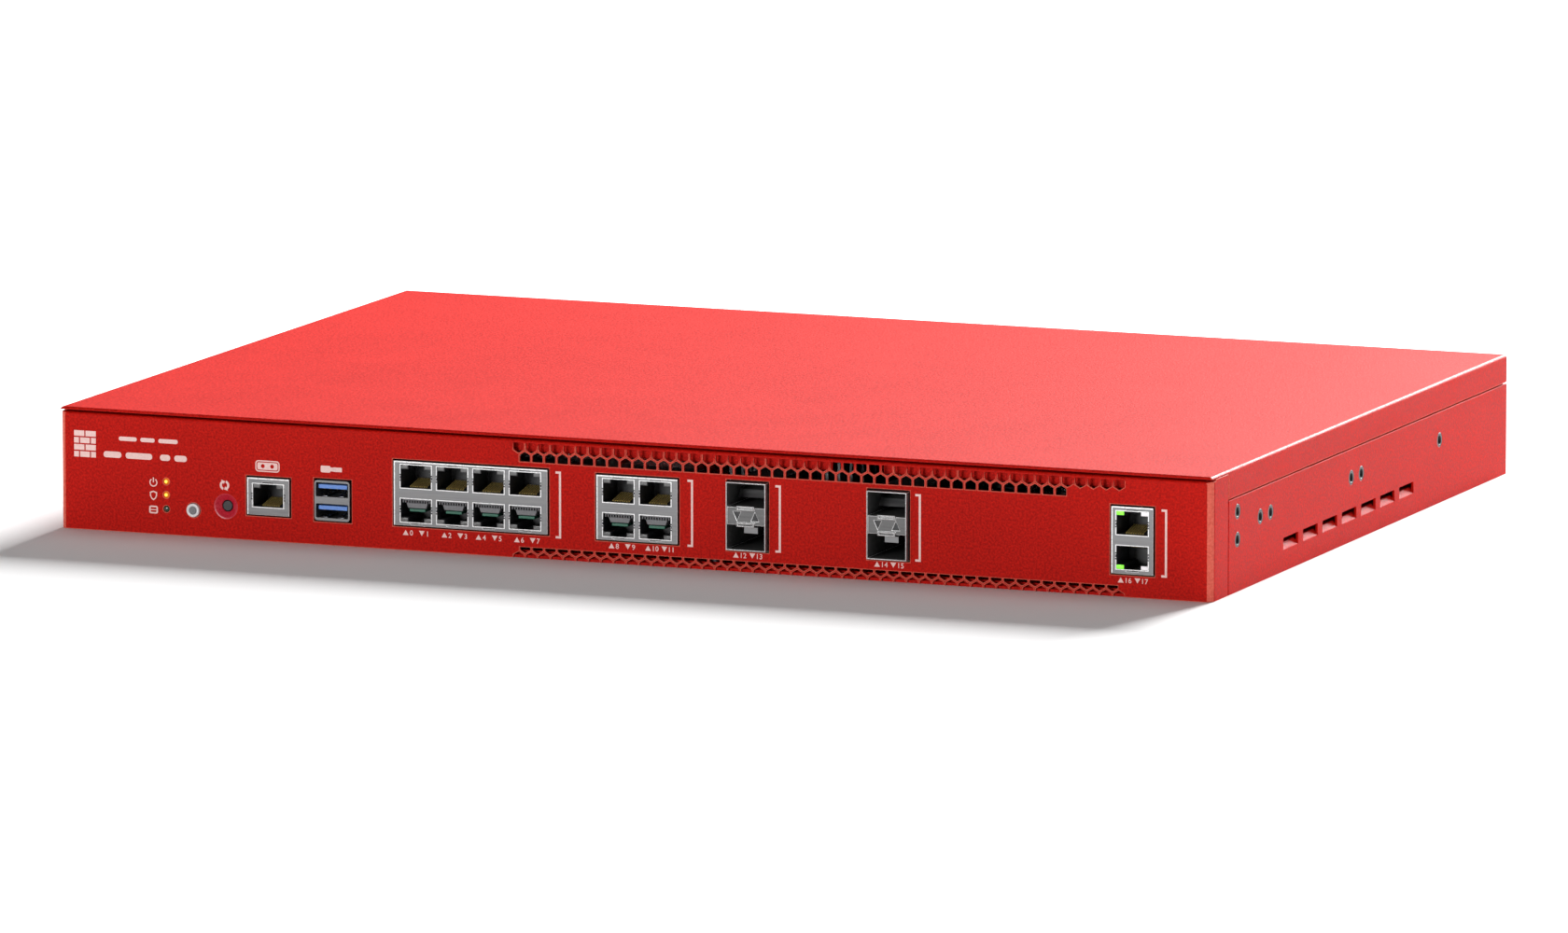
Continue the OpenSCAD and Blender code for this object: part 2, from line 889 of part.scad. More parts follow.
// A finned block: a base plate with upright fins along Y
module heatsink(x, y, w, l, z0, z1, base, fins) {
    fin_t = 1;
    step = (w - fin_t) / (fins - 1);
    block([x - w / 2, y - l / 2, z0], [x + w / 2, y + l / 2, z0 + base]);
    for (i = [0:fins - 1])
        block([x - w / 2 + i * step, y - l / 2, z0 + base],
            [x - w / 2 + i * step + fin_t, y + l / 2, z1]);
}

module screw_corners(x, y, w, l) {
    for (dx = [-1, 1])
        for (dy = [-1, 1])
            translate([x + dx * w / 2, y + dy * l / 2, 0])
                children();
}

module processor_heatsink() {
    color("silver")
        difference() {
            heatsink(cpu_x, cpu_y, 84, 84, board_top + 2.6, 38, 3.4, 19);
            screw_corners(cpu_x, cpu_y, 75, 75)
                translate([0, 0, board_top])
                    cylinder(r = 3.4, h = body_h);
        }
    color("silver")
        difference() {
            screw_corners(cpu_x, cpu_y, 75, 75)
                translate([0, 0, board_top + 2.6])
                    cylinder(r = 3.6, h = 3.4);
            screw_corners(cpu_x, cpu_y, 75, 75)
                translate([0, 0, board_top])
                    cylinder(r = 1.7, h = 9);
        }
}

module network_chips() {
    color("black")
        for (p = [[net_x, net_y, 13.5], [20, -118, 8.5], [80, -118, 8.5], [170, -118, 7]])
            block([p[0] - p[2], p[1] - p[2], board_top], [p[0] + p[2], p[1] + p[2], board_top + 2]);
}

module network_heatsink() {
    color("silver")
        difference() {
            heatsink(net_x, net_y, 46, 46, board_top + 2, 26, 3, 12);
            screw_corners(net_x, net_y, 38, -38)
                translate([0, 0, board_top])
                    cylinder(r = 1.7, h = 9);
        }
}

module heatsink_screws() {
    color("silver")
        screw_corners(cpu_x, cpu_y, 75, 75)
            down_screw(0, 0, board_top + 6, 2.7, 1.5, 6);
}

module memory_sockets() {
    color("black")
        for (x = [135, 148])
            difference() {
                block([x - 3.3, -66, board_top], [x + 3.3, 76, board_top + 9]);
                block([x - 0.8, -62.2, board_top + 2.6], [x + 0.8, 72.2, board_top + 10]);
            }
}

module memory_modules() {
    color("darkgreen")
        for (x = [135, 148]) {
            block([x - 0.65, -61.7, board_top + 2.8], [x + 0.65, 71.6, 40.6]);
            for (i = [0:7])
                block([x - 1.9, -58 + i * 16, 20], [x - 0.65, -46 + i * 16, 31]);
            for (i = [0:7])
                block([x + 0.65, -58 + i * 16, 20], [x + 1.9, -46 + i * 16, 31]);
        }
}

module drive_socket() {
    color("black") {
        difference() {
            block([-100, -6, board_top], [-78, 2, board_top + 4.4]);
            block([-99.5, -2, board_top + 2.2], [-78.5, 3, board_top + 3.4]);
        }
        translate([-89, 77.5, board_top])
            cylinder(r = 2.5, h = 2.3);
    }
}

module drive_module() {
    color("darkgreen") {
        difference() {
            block([-99.9, -1.8, board_top + 2.4], [-78.1, 78, board_top + 3.2]);
            block([-99.9 - past, -3, board_top], [-99.4, 3, board_top + 4]);
            block([-78.6, -3, board_top], [-78.1 + past, 3, board_top + 4]);
        }
        for (y = [12, 32, 52])
            block([-96, y, board_top + 3.2], [-82, y + 16, board_top + 4.4]);
    }
}

module board_capacitors() {
    color("dimgray") {
        for (i = [0:5])
            translate([-10 + i * 11, 32, board_top])
                cylinder(r = 4, h = 11);
        for (i = [0:3])
            translate([100, -70 + i * 11, board_top])
                cylinder(r = 4, h = 9);
        for (i = [0:2])
            translate([-108, -60 + i * 12, board_top])
                cylinder(r = 5, h = 14);
    }
}

module board_chokes() {
    color("gray")
        for (i = [0:4])
            difference() {
                block([-10 + i * 13, 42, board_top], [i * 13, 52, board_top + 7]);
                block([-10 + i * 13 - past, 46, board_top - past],
                    [-10 + i * 13 + 0.8, 48, board_top + 8]);
            }
}

module battery_holder() {
    color("black")
        translate([175, 50, board_top])
            difference() {
                cylinder(r = 12, h = 5);
                translate([0, 0, 1.4])
                    cylinder(r = 10.2, h = 5);
                block([-4, -13, 2.5], [4, 0, 6]);
            }
}

module clock_battery() {
    color("silver")
        translate([175, 50, board_top + 1.4])
            cylinder(r = 10, h = 3.2);
}

module board_headers() {
    color("whitesmoke") {
        difference() {
            block([-118, -30, board_top], [-108, 22, board_top + 12]);
            for (i = [0:11])
                for (j = [0, 1])
                    block([-117.2 + j * 4.4, -29 + i * 4.2, board_top + 4],
                        [-113.6 + j * 4.4, -25.4 + i * 4.2, board_top + 13]);
        }
        for (x = fan_x)
            difference() {
                block([x - 24, 84, board_top], [x - 13, 90, board_top + 8]);
                block([x - 23, 85, board_top + 3], [x - 14, 91, board_top + 9]);
            }
    }
}

// ---- Power supply ----

module psu_case() {
    x = [psu_x, psu_x + psu_w];
    y = [psu_y, psu_y + psu_l];
    color("silver")
        difference() {
            block([x[0], y[0], sheet], [x[1], y[1], sheet + psu_h - 1.1]);
            block([x[0] + sheet, y[0] + sheet, 2 * sheet],
                [x[1] - sheet, y[1] - sheet, body_h]);
            along_y(y[0] - past, y[0] + sheet + past)
                for (j = [0:4])
                    cell_row(x[0] + 8 + (j % 2) * cell_pitch / 2, 10 + j * row_step, 8);
            along_y(y[1] - sheet - past, y[1] + past)
                for (j = [0:4])
                    cell_row(x[0] + 14 + (j % 2) * cell_pitch / 2, 10 + j * row_step, 8);
            rod_y(x[1] - 14, 22, 5, y[0] - past, y[0] + 2 * sheet);
            rod_y(x[1] - 14, 22, 3.4, y[1] - 2 * sheet, y[1] + past);
        }
}

module psu_lid() {
    x = [psu_x, psu_x + psu_w];
    y = [psu_y, psu_y + psu_l];
    top = sheet + psu_h - 1.1;
    color("silver")
        difference() {
            block([x[0], y[0], top], [x[1], y[1], top + sheet]);
            for (j = [0:7])
                for (i = [0:9])
                    translate([x[0] + 12 + i * 6, y[0] + 50 + j * 6, top - past])
                        cylinder(r = 1.8, h = 3);
        }
}

// The supply's board with its transformer, storage capacitor, coils and two cooling plates
module psu_board() {
    x = psu_x + sheet + 1;
    y = psu_y + sheet + 1;
    z = 2 * sheet + 4;
    color("peru") {
        block([x, y, z], [x + psu_w - 4, y + psu_l - 4, z + board_t]);
        for (p = [[5, 5], [psu_w - 9, 5], [5, psu_l - 9], [psu_w - 9, psu_l - 9]])
            translate([x + p[0], y + p[1], 2 * sheet])
                cylinder(r = 2.5, h = 4);
        block([x + 24, y + 50, z + board_t], [x + 52, y + 82, z + 27]);
        block([x + 10, y + 88, z + board_t], [x + 30, y + 108, z + 20]);
        translate([x + 52, y + 112, z + board_t])
            cylinder(r = 11, h = 26);
        block([x + 10, y + 34, z + board_t], [x + 13, y + 80, z + 28]);
        block([x + 62, y + 34, z + board_t], [x + 65, y + 90, z + 28]);
    }
}

module power_inlet() {
    mouth = [24.2, 16.6];
    chamfer = 4.2;
    color("black")
        difference() {
            union() {
                block([inlet_x - 13.5, panel_y - 19, inlet_z - 9.9],
                    [inlet_x + 13.5, panel_y + sheet, inlet_z + 9.9]);
                block([inlet_x - 15.4, panel_y + sheet, inlet_z - 11.8],
                    [inlet_x + 15.4, panel_y + sheet + 2, inlet_z + 11.8]);
            }
            along_y(panel_y + sheet + 2 - 16.4, panel_y + sheet + 2 + past)
                translate([inlet_x, inlet_z])
                    polygon([[-mouth[0] / 2, -mouth[1] / 2], [mouth[0] / 2, -mouth[1] / 2],
                        [mouth[0] / 2, mouth[1] / 2 - chamfer], [mouth[0] / 2 - chamfer, mouth[1] / 2],
                        [-mouth[0] / 2 + chamfer, mouth[1] / 2],
                        [-mouth[0] / 2, mouth[1] / 2 - chamfer]]);
        }
}

// Three flat pins: two live ones low and the earth pin high in the middle
module inlet_pins() {
    floor_y = panel_y + sheet + 2 - 16.4;
    color("silver")
        for (p = [[-7, -2], [7, -2], [0, 2.6]])
            block([inlet_x + p[0] - 1, floor_y, inlet_z + p[1] - 2],
                [inlet_x + p[0] + 1, floor_y + 13.4, inlet_z + p[1] + 2]);
}

module rocker_housing() {
    color("black")
        difference() {
            union() {
                block([rocker_x - 6.5, panel_y - 15, rocker_z - 9.9],
                    [rocker_x + 6.5, panel_y + sheet, rocker_z + 9.9]);
                block([rocker_x - 7.8, panel_y + sheet, rocker_z - 11],
                    [rocker_x + 7.8, panel_y + sheet + 1.6, rocker_z + 11]);
            }
            block([rocker_x - 5.5, rocker_y - 5.4, rocker_z - 8.8],
                [rocker_x + 5.5, panel_y + sheet + 3, rocker_z + 8.8]);
            rod_x(rocker_y, rocker_z, 1.25, rocker_x - 6.3, rocker_x + 6.3);
        }
}

// The paddle leans so that its lower half is pressed in at rest
module power_rocker() {
    color("dimgray")
        translate([rocker_x, rocker_y, rocker_z])
            rotate([-rocker_lean, 0, 0]) {
                difference() {
                    intersection() {
                        rod_x(0, 0, rocker_r, -5.2, 5.2);
                        block([-5.2, -2.5, -rocker_r], [5.2, 5.2, rocker_r]);
                    }
                    for (s = [-1, 1])
                        rotate([s * 12, 0, 0])
                            block([-6, 4.1, s > 0 ? 0 : -12], [6, 9, s > 0 ? 12 : 0]);
                }
                rod_x(0, 0, 1.2, -6.1, 6.1);
            }
}

// ---- Fans ----

// Two square flanges joined by a round duct, with the motor boss carried on four spokes
module fan_frame(x) {
    wall_r = fan_size / 2 - 1.2;
    back_y = fan_front_y + fan_depth;
    flange_t = 4;
    difference() {
        union() {
            for (y = [fan_front_y, back_y - flange_t])
                block([x - fan_size / 2, y, fan_z - fan_size / 2],
                    [x + fan_size / 2, y + flange_t, fan_z + fan_size / 2]);
            rod_y(x, fan_z, wall_r + 1, fan_front_y + 1, back_y - 1);
        }
        rod_y(x, fan_z, wall_r, fan_front_y - past, back_y + past);
        for (dx = [-1, 1])
            for (dz = [-1, 1])
                rod_y(x + dx * fan_hole / 2, fan_z + dz * fan_hole / 2, 1.9,
                    fan_front_y - past, back_y + past);
    }
    difference() {
        union() {
            rod_y(x, fan_z, 11, back_y - 3, back_y);
            rod_y(x, fan_z, 7.4, fan_front_y + 6, back_y - 3);
            for (turn = [45, 135, 225, 315])
                translate([x, back_y - 2.7, fan_z])
                    rotate([0, turn, 0])
                        translate([10, 0, -0.9])
                            cube([wall_r - 9.6, 2.4, 1.8]);
        }
        rod_y(x, fan_z, shaft_r + 0.05, fan_front_y + 5, back_y - 1);
    }
}

module fan_frames() {
    color("black")
        for (x = fan_x)
            fan_frame(x);
}

// A cup on a shaft, with slanted blades round it
module fan_rotor(x) {
    hub_r = 10.6;
    tip_r = fan_size / 2 - 1.8;
    blade_l = 15;
    y0 = fan_front_y + 1.5;
    color("dimgray")
        translate([x, y0, fan_z])
            rotate([-90, 0, 0]) {
                difference() {
                    cylinder(r = hub_r, h = 18);
                    translate([0, 0, 1.8])
                        cylinder(r = hub_r - 1.6, h = 18);
                }
                cylinder(r = shaft_r, h = fan_depth - 5);
                intersection() {
                    difference() {
                        cylinder(r = tip_r, h = 18);
                        translate([0, 0, -past])
                            cylinder(r = hub_r - 0.4, h = 20);
                    }
                    for (i = [0:blades - 1])
                        rotate([0, 0, i * 360 / blades])
                            translate([hub_r - 1, 0, 9])
                                rotate([38, 0, 0])
                                    translate([0, -0.6, -blade_l / 2])
                                        cube([tip_r, 1.2, blade_l]);
                }
            }
}

module fan_rotor_left() {
    fan_rotor(fan_x[0]);
}

module fan_rotor_middle() {
    fan_rotor(fan_x[1]);
}

module fan_rotor_right() {
    fan_rotor(fan_x[2]);
}

module fan_screws() {
    color("silver")
        for (x = fan_x)
            for (dx = [-1, 1])
                for (dz = [-1, 1])
                    rear_screw(x + dx * fan_hole / 2, fan_z + dz * fan_hole / 2, panel_y + sheet,
                        3.4, 1.3, 1.85, 8);
}

// ---- Wiring ----

// Routes of the leads inside the case, as points in order
harness_route = [[-147, -37, 22], [-147, -46, 22], [-138, -52, 22], [-124, -52, 25],
    [-114, -42, 27], [-113, -30, 27], [-113, -16, 26], [-113, -4, 24.5]];
mains_routes = [[[-196, 133, 15], [-196, 126, 14], [-184, 121, 14], [-172, 121, 16], [-160, 126, 18],
    [-157, 137, 18]], [[-152, 137, 24], [-152, 130, 24], [-149, 122, 23], [-147, 112, 22],
    [-147, 105, 22]]];
fan_routes = [for (x = fan_x) [[x - 21.2, 122, 33], [x - 21.5, 112, 33], [x - 20.5, 102, 30],
    [x - 18.5, 96, 26], [x - 18.5, 90, 22], [x - 18.5, 87.5, 18], [x - 18.5, 87.5, 12]]];

// A point on the smooth curve through four route points, at t of the way from p1 to p2
function curve(p0, p1, p2, p3, t) = 0.5 * (2 * p1 + (p2 - p0) * t
    + (2 * p0 - 5 * p1 + 4 * p2 - p3) * t * t + (3 * p1 - p0 - 3 * p2 + p3) * t * t * t);
function route_at(r, i) = r[min(max(i, 0), len(r) - 1)];
function smooth_route(r, steps) = [for (i = [0:len(r) - 2]) for (s = [0:steps - 1])
    curve(route_at(r, i - 1), r[i], r[i + 1], route_at(r, i + 2), s / steps), r[len(r) - 1]];
function unit(v) = v / norm(v);
function heading(p, i) = unit(p[min(i + 1, len(p) - 1)] - p[max(i - 1, 0)]);

// A round lead swept along a route
module lead(route, d, steps = 2, sides = 8) {
    p = smooth_route(route, steps);
    n = len(p);
    side = [for (i = [0:n - 1]) unit(cross(heading(p, i), [0.31, 0.17, 0.93]))];
    up = [for (i = [0:n - 1]) cross(side[i], heading(p, i))];
    ring = [for (i = [0:n - 1]) for (k = [0:sides - 1])
        p[i] + d / 2 * (cos(360 * k / sides) * side[i] + sin(360 * k / sides) * up[i])];
    skin = [for (i = [0:n - 2]) for (k = [0:sides - 1])
        [i * sides + k, i * sides + (k + 1) % sides, (i + 1) * sides + (k + 1) % sides,
            (i + 1) * sides + k]];
    first = [for (k = [sides - 1:-1:0]) k];
    last = [for (k = [0:sides - 1]) (n - 1) * sides + k];
    polyhedron(points = ring, faces = concat(skin, [first], [last]));
}

module wiring() {
    color("goldenrod") {
        lead(harness_route, 8);
        for (r = mains_routes)
            lead(r, 3.6);
        for (r = fan_routes)
            lead(r, 2.6);
    }
}

base_tray();
rear_panel();
top_cover();
front_bezel();
front_beam();
side_inserts();
cover_screws();
console_shield();
console_body();
usb_shell();
usb_tongues();
jack_shield_a();
jack_body_a();
jack_shield_b();
jack_body_b();
jack_shield_c();
jack_body_c();
jack_contacts();
jack_lights();
module_cage_a();
module_cage_b();
module_sockets();
module_lights();
status_lights();
button_board();
push_switches();
power_button();
power_inlay();
reset_button();
front_ribbon();
main_board();
board_standoffs();
board_screws();
processor();
processor_heatsink();
network_chips();
network_heatsink();
heatsink_screws();
memory_sockets();
memory_modules();
drive_socket();
drive_module();
board_capacitors();
board_chokes();
battery_holder();
clock_battery();
board_headers();
psu_case();
psu_lid();
psu_board();
power_inlet();
inlet_pins();
rocker_housing();
power_rocker();
fan_frames();
fan_rotor_left();
fan_rotor_middle();
fan_rotor_right();
wiring();
fan_screws();
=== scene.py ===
import json
import math

import bmesh
import bpy
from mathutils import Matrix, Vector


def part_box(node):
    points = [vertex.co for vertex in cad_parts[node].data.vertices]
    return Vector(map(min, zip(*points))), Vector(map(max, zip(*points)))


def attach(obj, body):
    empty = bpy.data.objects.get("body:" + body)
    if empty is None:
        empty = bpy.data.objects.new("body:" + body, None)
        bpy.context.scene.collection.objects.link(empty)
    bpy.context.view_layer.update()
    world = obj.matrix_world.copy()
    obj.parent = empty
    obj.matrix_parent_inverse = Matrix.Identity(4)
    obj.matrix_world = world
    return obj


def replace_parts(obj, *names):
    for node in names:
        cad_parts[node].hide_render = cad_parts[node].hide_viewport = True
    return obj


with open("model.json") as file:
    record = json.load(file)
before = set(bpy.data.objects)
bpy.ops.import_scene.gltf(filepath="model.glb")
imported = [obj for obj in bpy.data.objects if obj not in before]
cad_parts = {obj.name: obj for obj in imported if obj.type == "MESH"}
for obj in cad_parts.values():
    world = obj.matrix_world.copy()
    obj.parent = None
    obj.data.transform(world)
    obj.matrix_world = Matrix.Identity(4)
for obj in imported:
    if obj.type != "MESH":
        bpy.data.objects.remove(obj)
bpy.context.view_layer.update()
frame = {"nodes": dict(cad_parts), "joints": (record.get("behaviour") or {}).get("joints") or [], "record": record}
nodes = frame["nodes"]

MM = 0.001
SHARP = math.radians(35)
TURN = {"x": (0, math.pi / 2, 0), "y": (math.pi / 2, 0, 0), "z": (0, 0, 0)}


def corners(node):
    """Lowest and highest corner of a CAD node, in millimetres."""
    low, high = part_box(node)
    return [v / MM for v in low], [v / MM for v in high]


LEFT, FACE = corners("front_bezel")[0][:2]


# ---- Camera, floor and lights ----

def set_camera():
    bpy.ops.object.camera_add(location=(1.9827, -4.9428, 0.850),
                              rotation=(math.radians(90) - 0.156, 0, 0.382))
    camera = bpy.context.object
    camera.data.lens = 342.86
    camera.data.sensor_width = 36
    camera.data.clip_end = 200
    bpy.context.scene.camera = camera


def softbox(place, aim, size, power):
    """A square studio light at a place, turned towards an aim point."""
    bpy.ops.object.light_add(type="AREA", location=place)
    lamp = bpy.context.object
    reach = [a - b for a, b in zip(aim, place)]
    flat = math.hypot(reach[0], reach[1])
    lamp.rotation_euler = (math.atan2(flat, -reach[2]), 0, math.atan2(-reach[0], reach[1]))
    lamp.data.size = size
    lamp.data.energy = power


def set_stage():
    bpy.ops.mesh.primitive_plane_add(size=60, location=(0, 0, 0))
    floor = bpy.context.object
    floor.name = "studio_floor"
    floor.data.materials.append(plain_floor())
    softbox((-0.3, 0.4, 2.2), (0, 0, 0), 1.5, 8)
    softbox((0.4, 3.5, 1.6), (0, 0, 0), 1.6, 560)
    softbox((-0.9, -3.6, 0.4), (0, -0.1, 0), 1.0, 58)
    softbox((3.0, -0.8, 0.4), (0.2, 0, 0), 1.0, 8)
    bpy.context.scene.view_settings.view_transform = "Standard"
    world = bpy.data.worlds.new("studio")
    bpy.context.scene.world = world
    world.use_nodes = True
    world.node_tree.nodes["Background"].inputs["Color"].default_value = (1, 1, 1, 1)
    world.node_tree.nodes["Background"].inputs["Strength"].default_value = 0.16


# ---- Finishes ----

def add(tree, kind, inputs=None, **settings):
    """A shader node with its settings, and its inputs linked or set."""
    made = tree.nodes.new("ShaderNode" + kind)
    for label, value in settings.items():
        setattr(made, label, value)
    for label, value in (inputs or {}).items():
        if isinstance(value, bpy.types.NodeSocket):
            tree.links.new(value, made.inputs[label])
        else:
            made.inputs[label].default_value = value
    return made


def effect(name, takes, gives):
    """An empty node group with named inputs and outputs."""
    tree = bpy.data.node_groups.new(name, "ShaderNodeTree")
    for label, kind in takes:
        tree.interface.new_socket(label, in_out="INPUT", socket_type="NodeSocket" + kind)
    for label, kind in gives:
        tree.interface.new_socket(label, in_out="OUTPUT", socket_type="NodeSocket" + kind)
    return tree, tree.nodes.new("NodeGroupInput").outputs, tree.nodes.new("NodeGroupOutput").inputs


SURFACE_IN = [("Vector", "Vector"), ("Light", "Color"), ("Dark", "Color"), ("Size", "Float"),
              ("Smooth", "Float"), ("Rough", "Float")]
SURFACE_OUT = [("Color", "Color"), ("Roughness", "Float"), ("Height", "Float")]


def surface_group(name, stretch):
    """Fine grain over a broad uneven tone. A stretch turns the grain into rolling marks."""
    tree, given, made = effect(name, SURFACE_IN, SURFACE_OUT)
    drawn = add(tree, "Mapping", {"Vector": given["Vector"], "Scale": stretch})
    fine = add(tree, "TexNoise", {"Vector": drawn.outputs[0], "Scale": given["Size"],
                                  "Detail": 3.0, "Roughness": 0.6})
    wide = add(tree, "Math", {0: given["Size"], 1: 0.03}, operation="MULTIPLY")
    broad = add(tree, "TexNoise", {"Vector": given["Vector"], "Scale": wide.outputs[0],
                                   "Detail": 3.0})
    speck = add(tree, "MapRange", {"Value": fine.outputs["Fac"], "From Min": 0.36,
                                   "From Max": 0.64})
    tone = add(tree, "MapRange", {"Value": broad.outputs["Fac"], "From Min": 0.3, "From Max": 0.7})
    share = add(tree, "Mix", {"Factor": 0.12, "A": speck.outputs[0], "B": tone.outputs[0]})
    colour = add(tree, "Mix", {0: share.outputs["Result"], 6: given["Dark"], 7: given["Light"]},
                 data_type="RGBA")
    gloss = add(tree, "MapRange", {"Value": share.outputs["Result"], "To Min": given["Smooth"],
                                   "To Max": given["Rough"]})
    tree.links.new(colour.outputs[2], made["Color"])
    tree.links.new(gloss.outputs[0], made["Roughness"])
    tree.links.new(fine.outputs["Fac"], made["Height"])
    return tree


GRAIN = surface_group("fine grain", (1, 1, 1))
ROLLED = surface_group("rolling marks", (0.12, 1, 1.6))


def finish(name, light, dark, size, gloss, bump, group=GRAIN, metallic=0.0, coat=0.0,
           glow=None, strength=0.0, specular=0.5):
    """A finish made of a surface group feeding one shader."""
    material = bpy.data.materials.new(name)
    material.use_nodes = True
    tree = material.node_tree
    shader = tree.nodes["Principled BSDF"]
    place = add(tree, "TexCoord").outputs["Object"]
    surface = add(tree, "Group", node_tree=group)
    tree.links.new(place, surface.inputs["Vector"])
    surface.inputs["Light"].default_value = (*light, 1)
    surface.inputs["Dark"].default_value = (*dark, 1)
    surface.inputs["Size"].default_value = size
    surface.inputs["Smooth"].default_value = gloss[0]
    surface.inputs["Rough"].default_value = gloss[1]
    relief = add(tree, "Bump", {"Height": surface.outputs["Height"], "Strength": bump,
                                "Distance": 0.00012})
    tree.links.new(surface.outputs["Color"], shader.inputs["Base Color"])
    tree.links.new(surface.outputs["Roughness"], shader.inputs["Roughness"])
    tree.links.new(relief.outputs[0], shader.inputs["Normal"])
    shader.inputs["Metallic"].default_value = metallic
    shader.inputs["Specular IOR Level"].default_value = specular
    shader.inputs["Coat Weight"].default_value = coat
    shader.inputs["Coat Roughness"].default_value = 0.2
    if glow:
        shader.inputs["Emission Color"].default_value = (*glow, 1)
        shader.inputs["Emission Strength"].default_value = strength
    return material


def plain_floor():
    return finish("pale floor", (0.86, 0.86, 0.86), (0.85, 0.85, 0.85), 3, (0.8, 0.85), 0)


PAINT = finish("red powder coat", (0.66, 0.013, 0.007), (0.38, 0.005, 0.003), 1200,
               (0.46, 0.58), 0.7, specular=0.05)
# Lighter, pinker red for rounded edges and corners: a painted highlight where the edges catch the light.
HIGHLIGHT_PAINT = finish("red paint, lighter on the edges as painted highlight", (0.8, 0.16, 0.11), (0.66, 0.1, 0.07), 1200,
                    (0.46, 0.58), 0.3, specular=0.05)
DISH_PAINT = finish("crimson dish", (0.6, 0.012, 0.035), (0.48, 0.008, 0.025), 1200,
                    (0.25, 0.35), 0.2, specular=0.5)
PLATED = finish("tin-plated sheet", (0.2, 0.2, 0.2), (0.15, 0.15, 0.155), 500,
                (0.34, 0.5), 0.12, ROLLED, metallic=0.75)
# Near-white metal for pressed edges and roundings: a painted highlight where the edges catch the light.
HIGHLIGHT_EDGE = finish("painted highlight on pressed edges", (0.9, 0.9, 0.9), (0.8, 0.8, 0.8), 900, (0.25, 0.35),
                     0.05, metallic=0.3)
DULL_TIN = finish("dull tin", (0.16, 0.16, 0.16), (0.1, 0.1, 0.1), 500, (0.4, 0.55), 0.12,
                  ROLLED, metallic=0.35)
# Steel darker than the bright inserts, painted shade so the insert holes read dark.
SHADE_STEEL = finish("steel, darker as painted shade", (0.05, 0.05, 0.05), (0.03, 0.03, 0.03), 900, (0.4, 0.5), 0.1,
                    metallic=0.6)
# Zinc drawn darker than real zinc, painted shade that tempers the strong back light on screws and fittings.
SHADE_DARKENED_ZINC = finish("zinc plate, darker as painted shade", (0.28, 0.28, 0.3), (0.2, 0.2, 0.22), 900, (0.22, 0.38), 0.15,
              metallic=1.0)
GALVANISED = finish("galvanised sheet", (0.66, 0.67, 0.68), (0.5, 0.51, 0.53), 160,
                    (0.35, 0.55), 0.1, metallic=1.0)
BLACK = finish("black moulding", (0.024, 0.024, 0.027), (0.014, 0.014, 0.016), 1800,
               (0.38, 0.52), 0.3)
GREY = finish("grey moulding", (0.2, 0.2, 0.21), (0.15, 0.15, 0.16), 1800, (0.4, 0.55), 0.3)
BLUE = finish("blue moulding", (0.14, 0.33, 0.85), (0.11, 0.27, 0.74), 1800, (0.3, 0.42), 0.2)
GOLD = finish("gold flash", (0.85, 0.64, 0.22), (0.7, 0.5, 0.15), 1500, (0.26, 0.38), 0.1,
              metallic=0.45)
WINDOW = finish("milky window", (0.15, 0.15, 0.15), (0.12, 0.12, 0.12), 900, (0.2, 0.3), 0.1,
                coat=0.4)
WHITE_LIT = finish("lit window, white", (0.9, 0.88, 0.9), (0.8, 0.78, 0.8), 900, (0.2, 0.3), 0.1,
                   glow=(1, 0.93, 0.96), strength=0.25)
GREEN_LIT = finish("lit window, green", (0.2, 0.75, 0.04), (0.14, 0.6, 0.03), 900, (0.2, 0.3),
                   0.1, glow=(0.2, 0.9, 0.03), strength=1.0)
AMBER_LIT = finish("lit lens, amber", (0.7, 0.2, 0.01), (0.55, 0.12, 0.006), 900, (0.15, 0.25),
                   0.05, glow=(1, 0.3, 0.01), strength=0.25, coat=0.6)
AMBER_CORE = finish("lit lens, core", (1, 0.75, 0.1), (1, 0.65, 0.08), 900, (0.15, 0.25), 0.05,
                    glow=(1, 0.68, 0.06), strength=1.2)
DARK_LENS = finish("dark lens", (0.03, 0.06, 0.03), (0.02, 0.04, 0.02), 900, (0.12, 0.2), 0.05,
                   coat=0.8)
WHITE_CAP = finish("white cap", (0.84, 0.84, 0.85), (0.76, 0.76, 0.77), 1800, (0.28, 0.4), 0.2,
                   coat=0.3)
INK = finish("white print", (1.0, 0.7, 0.66), (0.9, 0.58, 0.54), 2500, (0.5, 0.65), 0.2)
GREY_INK = finish("grey print", (0.25, 0.26, 0.27), (0.2, 0.21, 0.22), 2500, (0.5, 0.65), 0.2)
BOARD = finish("green solder mask", (0.02, 0.14, 0.06), (0.012, 0.1, 0.04), 300, (0.22, 0.4),
               0.25)
STRIP = finish("green carrier", (0.02, 0.16, 0.10), (0.015, 0.12, 0.07), 1200, (0.35, 0.5), 0.2)
CHIP = finish("moulded epoxy", (0.045, 0.045, 0.048), (0.03, 0.03, 0.032), 2200, (0.5, 0.65),
              0.3)
ALUMINIUM = finish("extruded aluminium", (0.84, 0.84, 0.85), (0.68, 0.68, 0.7), 420,
                   (0.3, 0.46), 0.15, ROLLED, metallic=1.0)
CAN = finish("capacitor sleeve", (0.08, 0.09, 0.13), (0.05, 0.06, 0.09), 900, (0.3, 0.42), 0.1)
LAMINATE = finish("paper laminate", (0.5, 0.34, 0.16), (0.4, 0.26, 0.11), 260, (0.45, 0.6), 0.2)
SHEATH = finish("cable sheath", (0.05, 0.05, 0.05), (0.03, 0.03, 0.03), 1200, (0.4, 0.52), 0.2)
RIBBON = finish("grey ribbon", (0.55, 0.55, 0.57), (0.45, 0.45, 0.47), 900, (0.45, 0.6), 0.2)
NYLON = finish("white nylon", (0.82, 0.81, 0.76), (0.74, 0.73, 0.68), 1200, (0.35, 0.5), 0.2)

